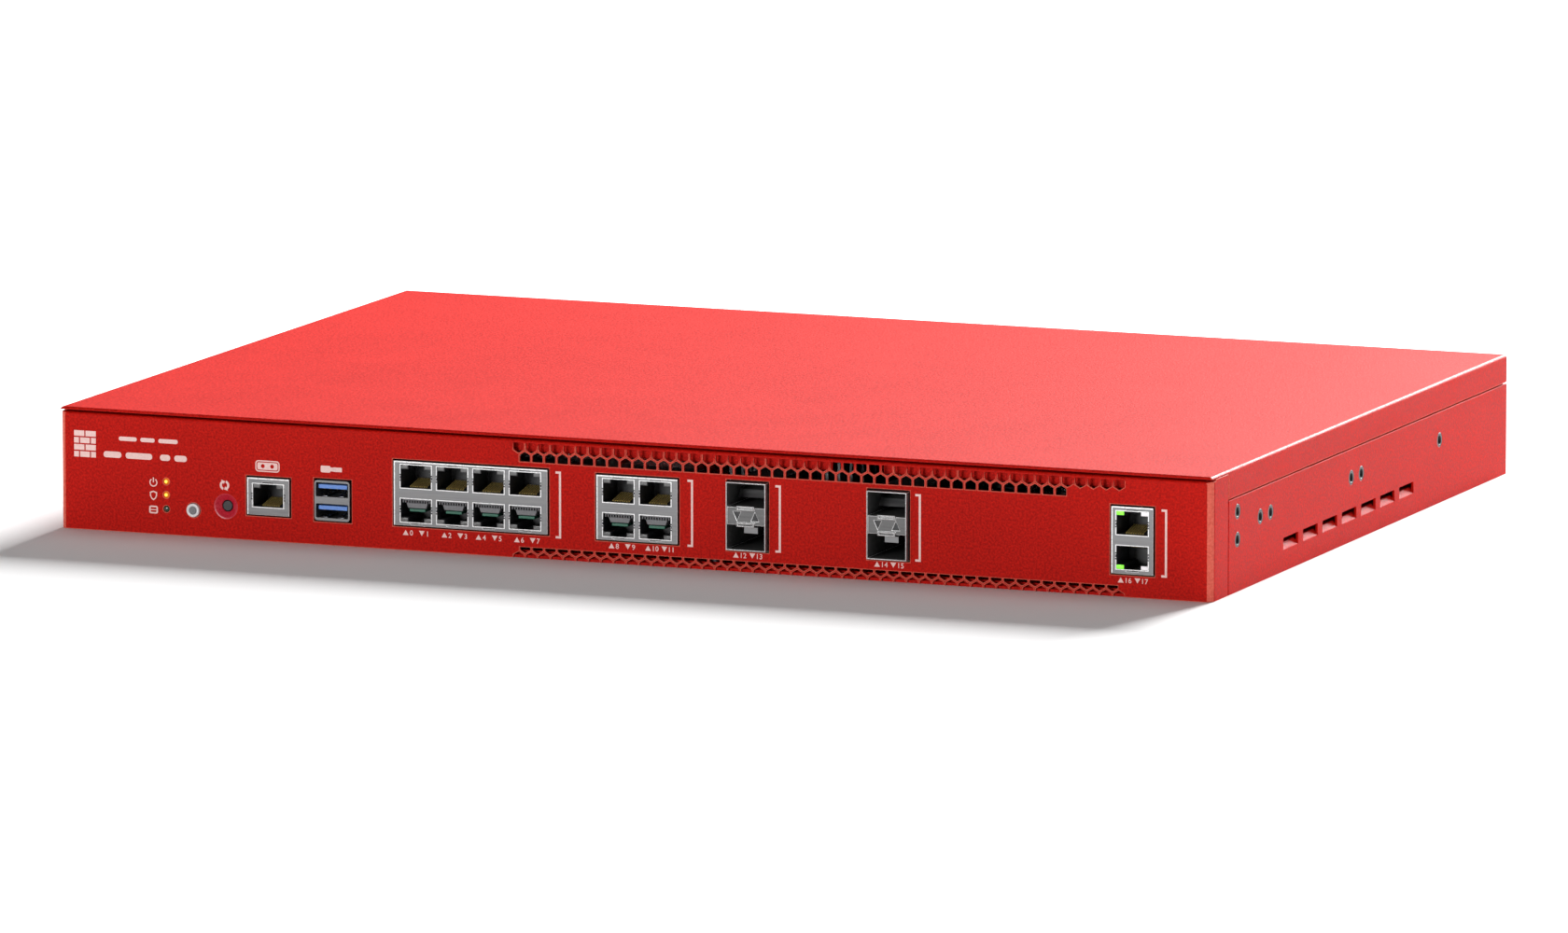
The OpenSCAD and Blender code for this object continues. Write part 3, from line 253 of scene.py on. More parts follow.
FINISHES = {
    # Screws, inserts, springs and cell steel take the darkened zinc, painted shade.
    "red_paint": PAINT, "plated_shield": PLATED, "zinc_screw": SHADE_DARKENED_ZINC, "bright_insert": SHADE_DARKENED_ZINC,
    "black_moulding": BLACK, "grey_moulding": GREY, "blue_tongue": BLUE, "gold_contact": GOLD,
    "clear_light": WINDOW, "amber_light": AMBER_LIT, "white_cap": WHITE_CAP,
    "green_board": BOARD, "chip_black": CHIP, "sink_aluminium": ALUMINIUM,
    "galvanised": GALVANISED, "capacitor_can": CAN, "tan_board": LAMINATE, "cell_steel": SHADE_DARKENED_ZINC,
    "cable_sheath": SHEATH, "ribbon_grey": RIBBON, "header_white": NYLON,
}


# ---- Shaping tools ----

def only(*pieces):
    bpy.ops.object.select_all(action="DESELECT")
    for piece in pieces:
        piece.select_set(True)
    bpy.context.view_layer.objects.active = pieces[0]


def settled(name):
    """The piece just made, named, with its place put into its mesh."""
    piece = bpy.context.object
    piece.name = piece.data.name = name
    bpy.ops.object.transform_apply(location=True, rotation=True, scale=True)
    return piece


def block(name, low, high):
    bpy.ops.object.select_all(action="DESELECT")
    bpy.ops.mesh.primitive_cube_add(size=1, location=[(a + b) / 2 * MM for a, b in zip(low, high)],
                                    scale=[(b - a) * MM for a, b in zip(low, high)])
    return settled(name)


def rod(name, at, radius, length, along="y", sides=24):
    bpy.ops.object.select_all(action="DESELECT")
    bpy.ops.mesh.primitive_cylinder_add(vertices=sides, radius=radius * MM, depth=length * MM,
                                        location=[v * MM for v in at], rotation=TURN[along])
    return settled(name)


def shape(piece, pick, work, kind="FACE"):
    """Opens a piece, selects the faces or edges that pick chooses, and runs the work on them."""
    only(piece)
    bpy.ops.object.mode_set(mode="EDIT")
    bpy.ops.mesh.select_mode(type=kind)
    bpy.ops.mesh.select_all(action="DESELECT")
    mesh = bmesh.from_edit_mesh(piece.data)
    if kind == "FACE":
        for face in mesh.faces:
            face.select_set(pick(face.calc_center_median() / MM, face.normal))
    else:
        for edge in mesh.edges:
            ends = [v.co / MM for v in edge.verts]
            edge.select_set(pick((ends[0] + ends[1]) / 2, (ends[1] - ends[0]).normalized()))
    bmesh.update_edit_mesh(piece.data)
    work()
    bpy.ops.object.mode_set(mode="OBJECT")
    return piece


def apply_all(piece):
    only(piece)
    for modifier in list(piece.modifiers):
        bpy.ops.object.modifier_apply(modifier=modifier.name)


def rounded(piece, width, segments=2, marked=False):
    """Rounds every sharp edge, or only the marked ones, and keeps the flats flat.

    A piece with a second material gets it on the rounding.
    """
    edge = piece.modifiers.new("rounding", "BEVEL")
    edge.width = width * MM
    edge.segments = segments
    edge.limit_method = "WEIGHT" if marked else "ANGLE"
    edge.angle_limit = SHARP
    edge.use_clamp_overlap = not marked
    edge.loop_slide = not marked
    edge.material = 1 if len(piece.data.materials) > 1 else -1
    apply_all(piece)
    bpy.ops.object.shade_smooth_by_angle(angle=math.radians(50))
    piece.modifiers.new("flats", "WEIGHTED_NORMAL").keep_sharp = True
    apply_all(piece)
    return piece


def joined(name, pieces):
    only(*pieces)
    bpy.ops.object.join()
    pieces[0].name = pieces[0].data.name = name
    return pieces[0]


def repeated(name, piece, moves):
    """The piece again after each move in millimetres, all joined into one."""
    made = []
    for move in moves:
        only(piece)
        bpy.ops.object.duplicate()
        bpy.ops.transform.translate(value=[v * MM for v in move])
        bpy.ops.object.transform_apply(location=True, rotation=True, scale=True)
        made.append(bpy.context.object)
    bpy.data.objects.remove(piece)
    return joined(name, made)


def cut(piece, tools):
    """Cuts the tools out of a piece."""
    tool = joined("cutter", tools) if len(tools) > 1 else tools[0]
    blade = piece.modifiers.new("cut", "BOOLEAN")
    blade.operation = "DIFFERENCE"
    blade.solver = "EXACT"
    blade.use_self = True
    blade.object = tool
    apply_all(piece)
    bpy.data.objects.remove(tool)
    return piece


def finer(name, node, width, segments=2, rim=None, leave=lambda at: False):
    """A copy that stands for a CAD node, with all sharp edges rounded but those it leaves."""
    piece = bpy.data.objects.new(name, nodes[node].data.copy())
    bpy.context.scene.collection.objects.link(piece)
    if rim:
        piece.data.materials.append(rim)
    only(piece)
    bpy.ops.object.mode_set(mode="EDIT")
    bpy.ops.mesh.select_all(action="SELECT")
    bpy.ops.mesh.remove_doubles(threshold=0.002 * MM)
    bpy.ops.mesh.customdata_custom_splitnormals_clear()
    bpy.ops.mesh.dissolve_limited(angle_limit=math.radians(0.5))
    bpy.ops.mesh.select_mode(type="EDGE")
    bpy.ops.mesh.select_all(action="DESELECT")
    mesh = bmesh.from_edit_mesh(piece.data)
    for edge in mesh.edges:
        at = (edge.verts[0].co + edge.verts[1].co) / 2 / MM
        edge.select_set(edge.calc_face_angle(0) > SHARP and not leave(at))
    bmesh.update_edit_mesh(piece.data)
    bpy.ops.transform.edge_bevelweight(value=1)
    bpy.ops.object.mode_set(mode="OBJECT")
    rounded(piece, width, segments, marked=True)
    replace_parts(piece, node)
    return piece


def dress(piece, material, body="root"):
    """Gives a piece its main material and the body it rides on."""
    if piece.data.materials:
        piece.data.materials[0] = material
    else:
        piece.data.materials.append(material)
    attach(piece, body)
    return piece


# ---- Printed marks on the front ----

PRINT = 0.03


FRONT_LEFT = (LEFT, 0)
MIDDLE = (0, 0)


def printed(name, outlines, y=FACE, origin=FRONT_LEFT):
    """Closed outlines, drawn in millimetres across and up from an origin, printed on a face."""
    drawing = bpy.data.curves.new(name, "CURVE")
    drawing.dimensions = "2D"
    drawing.fill_mode = "BOTH"
    drawing.extrude = PRINT / 2 * MM
    for outline in outlines:
        line = drawing.splines.new("POLY")
        line.points.add(len(outline) - 1)
        line.use_cyclic_u = True
        for point, (x, z) in zip(line.points, outline):
            point.co = ((x + origin[0]) * MM, (z + origin[1]) * MM, 0, 1)
    mark = bpy.data.objects.new(name, drawing)
    bpy.context.scene.collection.objects.link(mark)
    return printed_flat(mark, name, y)


def printed_flat(mark, name, y):
    only(mark)
    bpy.ops.object.convert(target="MESH")
    mark = bpy.context.object
    mark.rotation_euler = TURN["y"]
    mark.location.y += y * MM
    return merged(settled(name))


def merged(piece):
    return shape(piece, lambda at, way: True, lambda: bpy.ops.mesh.remove_doubles(threshold=1e-6))


def digits(name, text, x, z, height):
    """A port number, centred on x, standing on z."""
    bpy.ops.object.select_all(action="DESELECT")
    bpy.ops.object.text_add(location=(x * MM, 0, z * MM))
    words = bpy.context.object
    words.data.body = text
    words.data.size = height / 0.72 * MM
    words.data.align_x = "CENTER"
    words.data.space_character = 1.08
    words.data.offset = 0.03 * MM
    words.data.extrude = PRINT / 2 * MM
    return printed_flat(words, name, FACE)


def rect(x0, z0, x1, z1):
    return [(x0, z0), (x1, z0), (x1, z1), (x0, z1)]


def arc(x, z, radius, start, end, steps=16):
    """Points round an arc, in degrees turned from straight up, clockwise."""
    turns = [math.radians(start + (end - start) * i / steps) for i in range(steps + 1)]
    return [(x + radius * math.sin(t), z + radius * math.cos(t)) for t in turns]


def band(x, z, inner, outer, start, end):
    """A curved stroke between two radii."""
    return arc(x, z, outer, start, end) + arc(x, z, inner, end, start)


def round_rect(x0, z0, x1, z1, r):
    points = []
    for x, z, start in ((x1 - r, z1 - r, 0), (x1 - r, z0 + r, 90), (x0 + r, z0 + r, 180),
                        (x0 + r, z1 - r, 270)):
        points += arc(x, z, r, start, start + 90, 5)
    return points


def ring(x, z, inner, outer):
    return [arc(x, z, outer, 0, 345, 23), arc(x, z, inner, 0, 345, 23)]


def bracket(x0, x1, z0, z1, stroke=0.8):
    return [(x0, z0), (x1, z0), (x1, z1), (x0, z1), (x0, z1 - stroke), (x1 - stroke, z1 - stroke),
            (x1 - stroke, z0 + stroke), (x0, z0 + stroke)]


def power_sign(x, z, r, stroke):
    return [band(x, z, r - stroke, r, 35, 325),
            rect(x - stroke / 2, z, x + stroke / 2, z + r * 1.15)]


def brick_wall(x0, z0, width, course, rows):
    """Staggered bricks, a plain sign for a firewall."""
    joint = 0.5
    bricks = []
    for row in range(rows):
        z = z0 + row * (course + joint)
        edges = [0, width / 2, width] if row % 2 else [0, width / 4, width * 3 / 4, width]
        for a, b in zip(edges, edges[1:]):
            bricks.append(rect(x0 + a + (joint / 2 if a else 0), z,
                               x0 + b - (joint / 2 if b < width else 0), z + course))
    return bricks


PORT_LABELS = [(134.1, 136.3), (140.3, 142.5), (149, 151.1), (155.1, 157.2), (162.1, 164.3),
               (168.3, 170.4), (176.8, 178.9), (182.8, 184.9), (212.9, 215.1), (219.1, 221.3),
               (226.8, 229.5), (233.0, 235.6), (260.1, 262.8), (266.3, 268.9), (313.3, 316.0),
               (319.4, 322.1), (404.2, 406.9), (410.4, 413.0)]
BRACKETS = [(191.6, 193.7), (241.8, 243.9), (275.0, 277.1), (327.6, 329.7), (419.2, 421.3)]


DASH_ROWS = [(32.9, 1.5, (23, 30, 31.4, 37, 38.4, 46)),
             (26.6, 2.2, (17, 24, 25.6, 36, 39, 43, 44.6, 49.5))]


def status_signs():
    """Power, shield and drive, one beside each status light."""
    shield = [(-1.45, 1.2), (0, 1.75), (1.45, 1.2), (1.35, -0.2), (0.8, -1.2), (0, -1.75),
              (-0.8, -1.2), (-1.35, -0.2)]
    x, z = 36.4, 13.9
    return [power_sign(x, 18.6, 1.55, 0.42),
            [[(x + a, z + b) for a, b in shield], [(x + 0.68 * a, z + 0.7 * b) for a, b in shield]],
            [round_rect(34.7, 7.4, 38.1, 10.2, 0.7), round_rect(35.25, 7.95, 37.55, 9.65, 0.3)],
            [rect(35.3, 8.6, 37.5, 8.95)]]


def reset_sign():
    """Two arrows that chase each other round."""
    x, z = 64.1, 19.2
    parts = []
    for start in (20, 200):
        t = math.radians(start + 125)
        tip = [(x + r * math.sin(t + a), z + r * math.cos(t + a))
               for r, a in ((0.5, 0), (2.35, 0), (1.5, 0.75))]
        parts += [[band(x, z, 1.0, 1.85, start, start + 125)], [tip]]
    return parts


def console_sign():
    """A framed plate with two dots."""
    dots = [arc(x, 26.95, 0.75, 0, 345, 23) for x in (79.0, 82.6)]
    return [[round_rect(76.1, 24.9, 85.5, 29.0, 1.2), round_rect(76.5, 25.3, 85.1, 28.6, 0.9)],
            [round_rect(76.85, 25.65, 84.75, 28.25, 0.7), *dots]]


def plug_sign():
    """A plain plug, seen from the side."""
    return [[round_rect(101.4, 26.1, 105.2, 28.5, 0.5), round_rect(106.2, 26.5, 109.6, 28.1, 0.3)],
            [rect(105.2, 26.6, 106.3, 28.0)]]


def print_front():
    """The port numbers and brackets, the plain signs, and a plain mark where a name would be."""
    marks = []
    for number, (sign_x, digit_x) in enumerate(PORT_LABELS):
        z = 5.5 if number < 12 else 5.1
        up = number % 2 == 0
        tip, foot = (z + 1.85, z) if up else (z, z + 1.85)
        marks.append(printed("sign", [[(sign_x - 1.1, foot), (sign_x + 1.1, foot), (sign_x, tip)]]))
        marks.append(digits("digit", str(number), LEFT + digit_x, z, 1.85))
    for x0, x1 in BRACKETS:
        marks.append(printed("bracket", [bracket(x0, x1, 7.8, 31.7)]))
    dress(joined("port_numbers", marks), INK)

    signs = [printed("sign", outlines) for outlines in (*status_signs(), *reset_sign(),
                                                        *console_sign(), *plug_sign())]
    dress(joined("front_signs", signs), INK)

    strokes = [printed("wall_sign", brick_wall(5.5, 26.2, 8.5, 2.0, 4))]
    for z, height, ends in DASH_ROWS:
        strokes += [printed("dash", [round_rect(x0, z, x1, z + height, height * 0.48)])
                    for x0, x1 in zip(ends[::2], ends[1::2])]
    dress(joined("maker_mark", strokes), INK)


# ---- Jacks ----

JACK_PITCH = {"a": 13.95, "b": 14.05, "c": 0}
JACK_COLUMNS = {"a": 4, "b": 2, "c": 1}
RIB = 1.95
PLUG_H = 6.7
MOUTH_H = 8.25
CONSOLE_FLOOR = 12.3
SHIELD_FACE = corners("jack_shield_a")[0][1]


def jack_places():
    """Each jack: block name, centre x, height of its contact wall, and +1 with the latch above."""
    places = []
    for name, columns in JACK_COLUMNS.items():
        low, high = corners("jack_shield_" + name)
        middle_x, middle_z = (low[0] + high[0]) / 2, (low[2] + high[2]) / 2
        for column in range(columns):
            x = middle_x + (column - (columns - 1) / 2) * JACK_PITCH[name]
            places += [(name, x, middle_z + RIB, 1), (name, x, middle_z - RIB, -1)]
    low, high = corners("console_shield")
    places.append(("console", (low[0] + high[0]) / 2, CONSOLE_FLOOR, 1))
    return places


PLACES = jack_places()


def jack_windows():
    """The small light windows in the corners of each jack."""
    light = block("window", (-1.3, FACE - 0.1, -0.68), (1.3, FACE + 1.2, 0.68))
    shape(light, lambda at, way: way.y < -0.5, lambda: bpy.ops.mesh.inset(thickness=0.25 * MM))
    shape(light, lambda at, way: way.y < -0.9 and abs(at.x) < 1 and abs(at.z) < 0.6,
          lambda: bpy.ops.transform.translate(value=(0, -0.12 * MM, 0)))
    rounded(light, 0.12)
    spots = {"clear": [], "green": [], "white": []}
    for name, x, wall, side in PLACES:
        z = wall + side * (PLUG_H + 0.82)
        for s in (-1, 1):
            kind = "clear" if name != "c" else ("green" if s < 0 else "white")
            spots[kind].append((x + s * 4.5, 0, z))
    looks = {"clear": WINDOW, "green": GREEN_LIT, "white": WHITE_LIT}
    for kind, moves in spots.items():
        only(light)
        bpy.ops.object.duplicate()
        piece = repeated("jack_windows_" + kind, bpy.context.object, moves)
        dress(piece, looks[kind])
        if kind == "clear":
            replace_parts(piece, "jack_lights")
    bpy.data.objects.remove(light)


def jack_insides():
    """The slotted comb, the contact carrier and the green strip of the lower jacks."""
    low_jacks = [(x, 0, wall) for name, x, wall, side in PLACES if side < 0 and name != "c"]
    comb = block("comb", (-5.3, FACE + 0.1, -0.5), (5.3, FACE + 1.6, -0.05))
    teeth = [block("tooth", (-5.25 + i * 1.0, FACE + 0.1, -1.4), (-4.9 + i * 1.0, FACE + 1.5, -0.4))
             for i in range(11)]
    comb = joined("comb", [comb, *teeth])
    dress(repeated("jack_combs", comb, low_jacks), GREY)

    carrier = block("carrier", (-4.15, FACE + 0.7, -3.4), (4.15, FACE + 8, -1.5))
    shape(carrier, lambda at, way: way.z < -0.5,
          lambda: bpy.ops.transform.resize(value=(0.84, 1, 1)))
    shape(carrier, lambda at, way: way.y < -0.5,
          lambda: bpy.ops.mesh.inset(thickness=0.3 * MM))
    rounded(carrier, 0.2)
    dress(repeated("jack_carriers", carrier, low_jacks), GREY)

    strip = block("strip", (-3.05, FACE + 1.0, -4.65), (3.05, FACE + 9, -3.65))
    shape(strip, lambda at, way: way.y < -0.5, lambda: bpy.ops.mesh.inset(thickness=0.2 * MM))
    rounded(strip, 0.15)
    dress(repeated("jack_strips", strip, low_jacks), STRIP)


def jack_springs():
    """The small sprung tabs at both sides of every jack's mouth, each between two slots drawn as thin black
    blocks, which are painted shade.
    """
    tab = block("tab", (-0.3, FACE - 0.75, -0.6), (0.3, FACE - 0.1, 0.6))
    shape(tab, lambda at, way: way.y < -0.5,
          lambda: bpy.ops.transform.resize(value=(0.6, 1, 0.55)))
    rounded(tab, 0.12)
    slot = block("slot", (-0.35, FACE - 0.43, 0.75), (0.35, FACE - 0.3, 1.25))
    rounded(slot, 0.04)
    lower = block("slot", (-0.35, FACE - 0.43, -1.25), (0.35, FACE - 0.3, -0.75))
    rounded(lower, 0.04)
    slot = joined("slot", [slot, lower])
    moves = []
    for name, x, wall, side in PLACES:
        half = 6.35 if name == "console" else 6.0
        moves += [(x + s * half, 0, wall + side * 3.7) for s in (-1, 1)]
    dress(repeated("jack_springs", tab, moves), SHADE_DARKENED_ZINC)
    # Thin black blocks in the slots, painted shade in the gaps.
    dress(repeated("jack_spring_slot_shade", slot, moves), BLACK)


def jack_edges():
    """Painted highlights drawn as bright strips: one round every jack's mouth, one on each shield's top and left.
    """
    edges = []
    for _, x, wall, side in PLACES:
        near, far = sorted((wall, wall + side * MOUTH_H))
        edges.append(printed("edge", [rect(x - 6.2, near - 0.3, x + 6.2, far + 0.3),
                                      rect(x - 5.85, near, x + 5.85, far)],
                             y=SHIELD_FACE, origin=MIDDLE))
    for node in ("jack_shield_a", "jack_shield_b", "jack_shield_c", "console_shield"):
        low, high = corners(node)
        outer = [(low[0] + 0.1, low[2] + 0.1), (low[0] + 0.1, high[2] - 0.1),
                 (high[0] - 0.1, high[2] - 0.1), (high[0] - 0.1, high[2] - 0.5),
                 (low[0] + 0.5, high[2] - 0.5), (low[0] + 0.5, low[2] + 0.1)]
        edges.append(printed("edge", [outer], y=SHIELD_FACE, origin=MIDDLE))
    dress(joined("jack_edges", edges), HIGHLIGHT_EDGE)


# ---- USB sockets and module cages ----

TONGUE_LEVELS = (12.4, 20.0)


def usb_sockets():
    """The formed double shell, with its fingers, tongues and contacts."""
    low, high = corners("usb_shell")
    middle = (low[0] + high[0]) / 2
    board_top = corners("main_board")[1][2]
    shell = block("usb_shell_formed", (low[0], low[1], board_top + 1.1), high)
    shape(shell, lambda at, way: abs(way.y) > 0.9 and abs(at.x - middle) > 6,
          lambda: bpy.ops.mesh.bevel(offset=1.1 * MM, segments=4), kind="EDGE")
    tools = []
    for tongue_z in TONGUE_LEVELS:
        tools.append(rounded(block("tool", (middle - 6.25, low[1] - 1, tongue_z - 2.56),
                                   (middle + 6.25, high[1] - 1, tongue_z + 2.56)), 0.4))
    cut(shell, tools)
    shell.data.materials.append(PLATED)
    # The shell's roundings get the near-white painted highlight.
    shell.data.materials.append(HIGHLIGHT_EDGE)
    rounded(shell, 0.28, 3)
    legs = [rod("leg", (middle + s * 4.5, high[1] - 4, board_top + 0.6), 0.8, 1.4, "z", 12)
            for s in (-1, 1)]
    shell = joined("usb_shell_formed", [shell, *legs])
    dress(shell, PLATED)
    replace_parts(shell, "usb_shell")

    finger = block("finger", (-1.1, FACE + 0.2, 0), (1.1, FACE + 8, 0.25))
    shape(finger, lambda at, way: way.y > 0.5,
          lambda: bpy.ops.transform.translate(value=(0, 0, 0.9 * MM)))
    shape(finger, lambda at, way: way.y > 0.5,
          lambda: bpy.ops.mesh.extrude_region_move(
              TRANSFORM_OT_translate={"value": (0, 1.4 * MM, -0.5 * MM)}))
    rounded(finger, 0.08)
    moves = [(middle + s * 3.1, 0, z - 2.5) for z in TONGUE_LEVELS for s in (-1, 1)]
    dress(repeated("usb_fingers", finger, moves), SHADE_DARKENED_ZINC)

    tongue = block("tongue", (middle - 5.5, FACE + 0.6, 0.3), (middle + 5.5, high[1] - 1.1, 1.75))
    shape(tongue, lambda at, way: way.y < -0.5, lambda: bpy.ops.mesh.inset(thickness=0.25 * MM))
    shape(tongue, lambda at, way: way.y < -0.9 and abs(at.x - middle) < 1,
          lambda: bpy.ops.transform.translate(value=(0, -0.3 * MM, 0)))
    rounded(tongue, 0.12)
    tongue = repeated("usb_tongues_formed", tongue, [(0, 0, z) for z in TONGUE_LEVELS])
    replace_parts(dress(tongue, BLUE), "usb_tongues")

    strip = block("strip", (-0.5, FACE + 1.2, 0), (0.5, FACE + 9, 0.08))
    rounded(strip, 0.03)
    moves = [(middle + (i - 1.5) * 2.4, 0, z + 0.12) for z in TONGUE_LEVELS for i in range(4)]
    dress(repeated("usb_contacts", strip, moves), GOLD)


def module_cages():
    """The bent plates that show inside each cage's upper and lower cell."""
    for name in ("a", "b"):
        low, high = corners("module_cage_" + name)
        middle = (low[0] + high[0]) / 2
        # The cage's roundings get the near-white painted highlight.
        dress(finer("cage_shell_" + name, "module_cage_" + name, 0.16, rim=HIGHLIGHT_EDGE),
              DULL_TIN)
        upper = block("plate", (low[0] + 0.6, FACE + 8.5, 25.2), (high[0] - 0.6, FACE + 8.8, 27.9))
        shape(upper, lambda at, way: way.z > 0.5,
              lambda: bpy.ops.transform.translate(value=(0, 1.6 * MM, 0)))
        shape(upper, lambda at, way: way.z > 0.5,
              lambda: bpy.ops.mesh.extrude_region_move(
                  TRANSFORM_OT_translate={"value": (0, 5 * MM, 1.2 * MM)}))
        rounded(upper, 0.1)
        latch = block("plate", (middle - 2.6, FACE + 3.2, 13.4), (middle + 2.6, FACE + 3.5, 15.6))
        shape(latch, lambda at, way: way.z > 0.5,
              lambda: bpy.ops.mesh.extrude_region_move(
                  TRANSFORM_OT_translate={"value": (0, 4 * MM, 1.2 * MM)}))
        rounded(latch, 0.1)
        dress(joined("cage_plates_" + name, [upper, latch]), PLATED)


# ---- Buttons and lights ----

STATUS_LEVELS = (19.2, 14.4, 9.3)


def controls():
    """The two buttons' caps, and the three status lights, of which the lowest is dark."""
    cap_face = corners("power_button")[0][1]
    dress(finer("power_cap", "power_button", 0.28, 3), WHITE_CAP, "power_button")
    dress(finer("power_cap_centre", "power_inlay", 0.1), GREY, "power_button")
    low, high = corners("power_inlay")
    middle, z = (low[0] + high[0]) / 2, (low[2] + high[2]) / 2
    sign = printed("power_cap_sign", power_sign(middle, z - 0.05, 0.8, 0.22),
                   y=cap_face + 0.2, origin=MIDDLE)
    dress(sign, GREY_INK, "power_button")
    dress(finer("reset_cap", "reset_button", 0.3, 3), BLACK, "reset_button")

    lens_low, lens_high = corners("status_lights")
    centre = (lens_low[0] + lens_high[0]) / 2
    length = lens_high[1] - lens_low[1]
    lenses = []
    for z in STATUS_LEVELS:
        lens = rod("lens", (centre, lens_low[1] + 0.28 + length / 2, z), 1.15, length - 0.28)
        shape(lens, lambda at, way: way.y < -0.9,
              lambda: bpy.ops.mesh.inset(thickness=0.45 * MM))
        shape(lens, lambda at, way: way.y < -0.9 and abs(at.x - centre) < 0.05,
              lambda: bpy.ops.transform.translate(value=(0, -0.28 * MM, 0)))
        bpy.ops.object.shade_smooth_by_angle(angle=math.radians(60))
        lenses.append(lens)
    cores = [rod("core", (centre, lens_low[1] - 0.01, z), 0.55, 0.06, sides=16)
             for z in STATUS_LEVELS[:2]]
    for core in cores:
        shape(core, lambda at, way: way.y < -0.9, lambda: bpy.ops.mesh.inset(thickness=0.15 * MM))
        shape(core, lambda at, way: way.y < -0.9 and abs(at.x - centre) < 0.05,
              lambda: bpy.ops.transform.translate(value=(0, -0.06 * MM, 0)))
    dress(joined("status_lens_cores", cores), AMBER_CORE)
    lit = joined("status_lenses_lit", lenses[:2])
    dress(lit, AMBER_LIT)
    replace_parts(lit, "status_lights")
    lenses[2].name = "status_lens_dark"
    dress(lenses[2], DARK_LENS)


# ---- Sides and back ----

RAIL_HOLES = [(25.5, 18.4), (25.5, 28.3), (48.5, 23.1), (59, 23.1), (142.5, 23.1), (153, 23.1),
              (236.5, 23.1)]


def insert_threads():
    """Rings that read as the thread inside each insert, in steel darkened as painted shade."""
    outer = corners("side_inserts")[1][0]
    bpy.ops.object.select_all(action="DESELECT")
    bpy.ops.mesh.primitive_torus_add(major_segments=16, minor_segments=4, rotation=TURN["x"],
                                     major_radius=1.66 * MM, minor_radius=0.16 * MM)
    turn = settled("turn")
    moves = [(side * (outer - 0.5 - i * 0.7), FACE + y, z) for y, z in RAIL_HOLES
             for i in range(4) for side in (-1, 1)]
    dress(repeated("insert_threads", turn, moves), SHADE_STEEL)


def fan_labels():
    """Plain round stickers on the motor bosses, drawn black and darker than the real labels, as painted shade
    against the strong back light.
    """
    back = corners("fan_frames")[1][1]
    spin = {j["name"]: j for j in frame["joints"]}
    labels = []
    for side in ("left", "middle", "right"):
        x, _, z = [v / MM for v in spin[f"fan_{side}_spin"]["pos_m"]]
        label = rod("label", (x, back + 0.03, z), 8.6, 0.06, sides=40)
        shape(label, lambda at, way: way.y > 0.9, lambda: bpy.ops.mesh.inset(thickness=0.6 * MM))
        shape(label, lambda at, way: way.y > 0.9 and abs(at.x - x) < 0.1,
              lambda: bpy.ops.transform.translate(value=(0, -0.02 * MM, 0)))
        labels.append(label)
    dress(joined("fan_labels", labels), CHIP)


def rocker_marks():
    """A line and a ring, one on each half of the on/off rocker."""
    joint = next(j for j in frame["joints"] if j["name"] == "power_rocker_tilt")
    marks = []
    for lean, outlines in ((2, [rect(-0.25, 3.2, 0.25, 6.2)]), (-22, ring(0, -4.6, 1.05, 1.5))):
        mark = printed("mark", outlines, y=0, origin=MIDDLE)
        mark.rotation_euler = (math.radians(lean), 0, 0)
        mark.location = joint["pos_m"]
        only(mark)
        lift = 4.1 * MM
        mark.location.y += lift * math.cos(math.radians(lean))
        mark.location.z += lift * math.sin(math.radians(lean))
        marks.append(settled("mark"))
    dress(joined("rocker_marks", marks), INK, "power_rocker")


# ---- Bezel ----

CORNER = 2.8
DISH_R = 4.55
INNER_X = 214
BEZEL_RIGHT, _, BEZEL_TOP = corners("front_bezel")[1]


def behind_face(at):
    """The bezel's inner edges, and the tight ones under its folded top."""
    return abs(at.x) < INNER_X and (at.z > 40.9 or FACE + 0.8 < at.y < FACE + 3)


def outer_top(at, way):
    """The outer edge of the bezel's top, front and sides."""
    out = math.hypot(max(abs(at.x) - BEZEL_RIGHT + CORNER, 0), max(FACE + CORNER - at.y, 0))
    return at.z > BEZEL_TOP - 0.05 and out > CORNER - 0.06


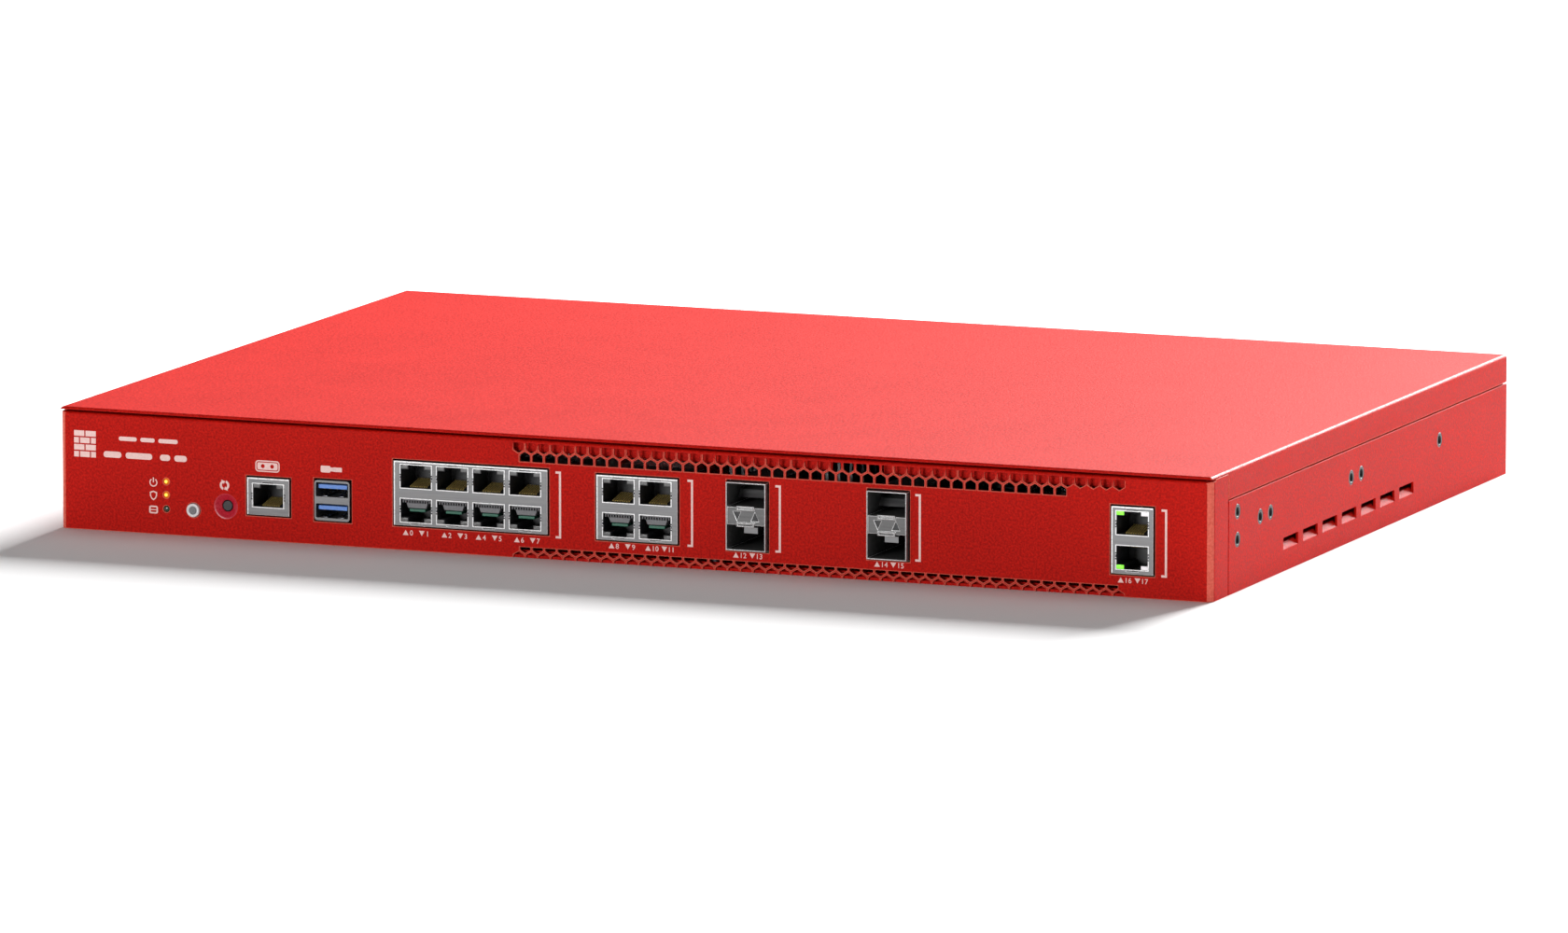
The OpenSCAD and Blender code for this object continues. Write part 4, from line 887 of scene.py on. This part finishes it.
def paint_bezel(bezel):
    """The sloping wall round the reset button, and a lighter red on the upright corners as a painted highlight."""
    low, high = corners("reset_button")
    for face in bezel.data.polygons:
        at = face.center / MM
        off = math.hypot(at.x - (low[0] + high[0]) / 2, at.z - (low[2] + high[2]) / 2)
        if off < DISH_R and face.normal.y > -0.98:
            face.material_index = 2
        # Upright corner faces take the lighter red, a painted highlight.
        if abs(at.x) > INNER_X and face.normal.y < -0.3 and face.normal.x * at.x > 60:
            face.material_index = 1


# ---- Putting it together ----

set_camera()
set_stage()

# The bezel's rounded edges take the lighter red as a painted highlight.
bezel = finer("bezel_sheet", "front_bezel", 0.28, rim=HIGHLIGHT_PAINT, leave=behind_face)
bezel.data.materials.append(DISH_PAINT)
paint_bezel(bezel)
# The outer top edge is bevelled in the lighter red, a painted highlight band.
shape(bezel, outer_top, lambda: bpy.ops.mesh.bevel(offset=0.6 * MM, segments=3, material=1,
                                                   clamp_overlap=False), kind="EDGE")
dress(bezel, PAINT)
# The cover's rounded edges take the lighter red as a painted highlight.
dress(finer("cover_sheet", "top_cover", 0.3, rim=HIGHLIGHT_PAINT), PAINT)
for name, node, width in (("tray_sheet", "base_tray", 0.2), ("rear_sheet", "rear_panel", 0.18),
                          ("beam_sheet", "front_beam", 0.2)):
    dress(finer(name, node, width), PAINT)
for name, node in (("console_skin", "console_shield"), ("jack_skin_a", "jack_shield_a"),
                   ("jack_skin_b", "jack_shield_b"), ("jack_skin_c", "jack_shield_c")):
    # The shields' roundings get the near-white painted highlight.
    dress(finer(name, node, 0.1, rim=HIGHLIGHT_EDGE), PLATED)
for name, node, slot, width in (("case_screws", "cover_screws", "zinc_screw", 0.3),
                                ("fan_fixings", "fan_screws", "zinc_screw", 0.3),
                                ("inlet_body", "power_inlet", "black_moulding", 0.4),
                                ("rocker_frame", "rocker_housing", "black_moulding", 0.35)):
    dress(finer(name, node, width), FINISHES[slot])
# The insert copies take the darkened steel as painted shade in their holes, with plated rims.
dress(finer("insert_rings", "side_inserts", 0.2, rim=PLATED), SHADE_STEEL)
dress(finer("rocker_paddle", "power_rocker", 0.3), BLACK, "power_rocker")

print_front()
jack_windows()
jack_insides()
jack_springs()
jack_edges()
usb_sockets()
module_cages()
controls()
insert_threads()
fan_labels()
rocker_marks()

for part in frame["record"]["subparts"]:
    node = nodes[part["node"]]
    node.data.materials.clear()
    node.data.materials.append(FINISHES[part["material_slot"]])
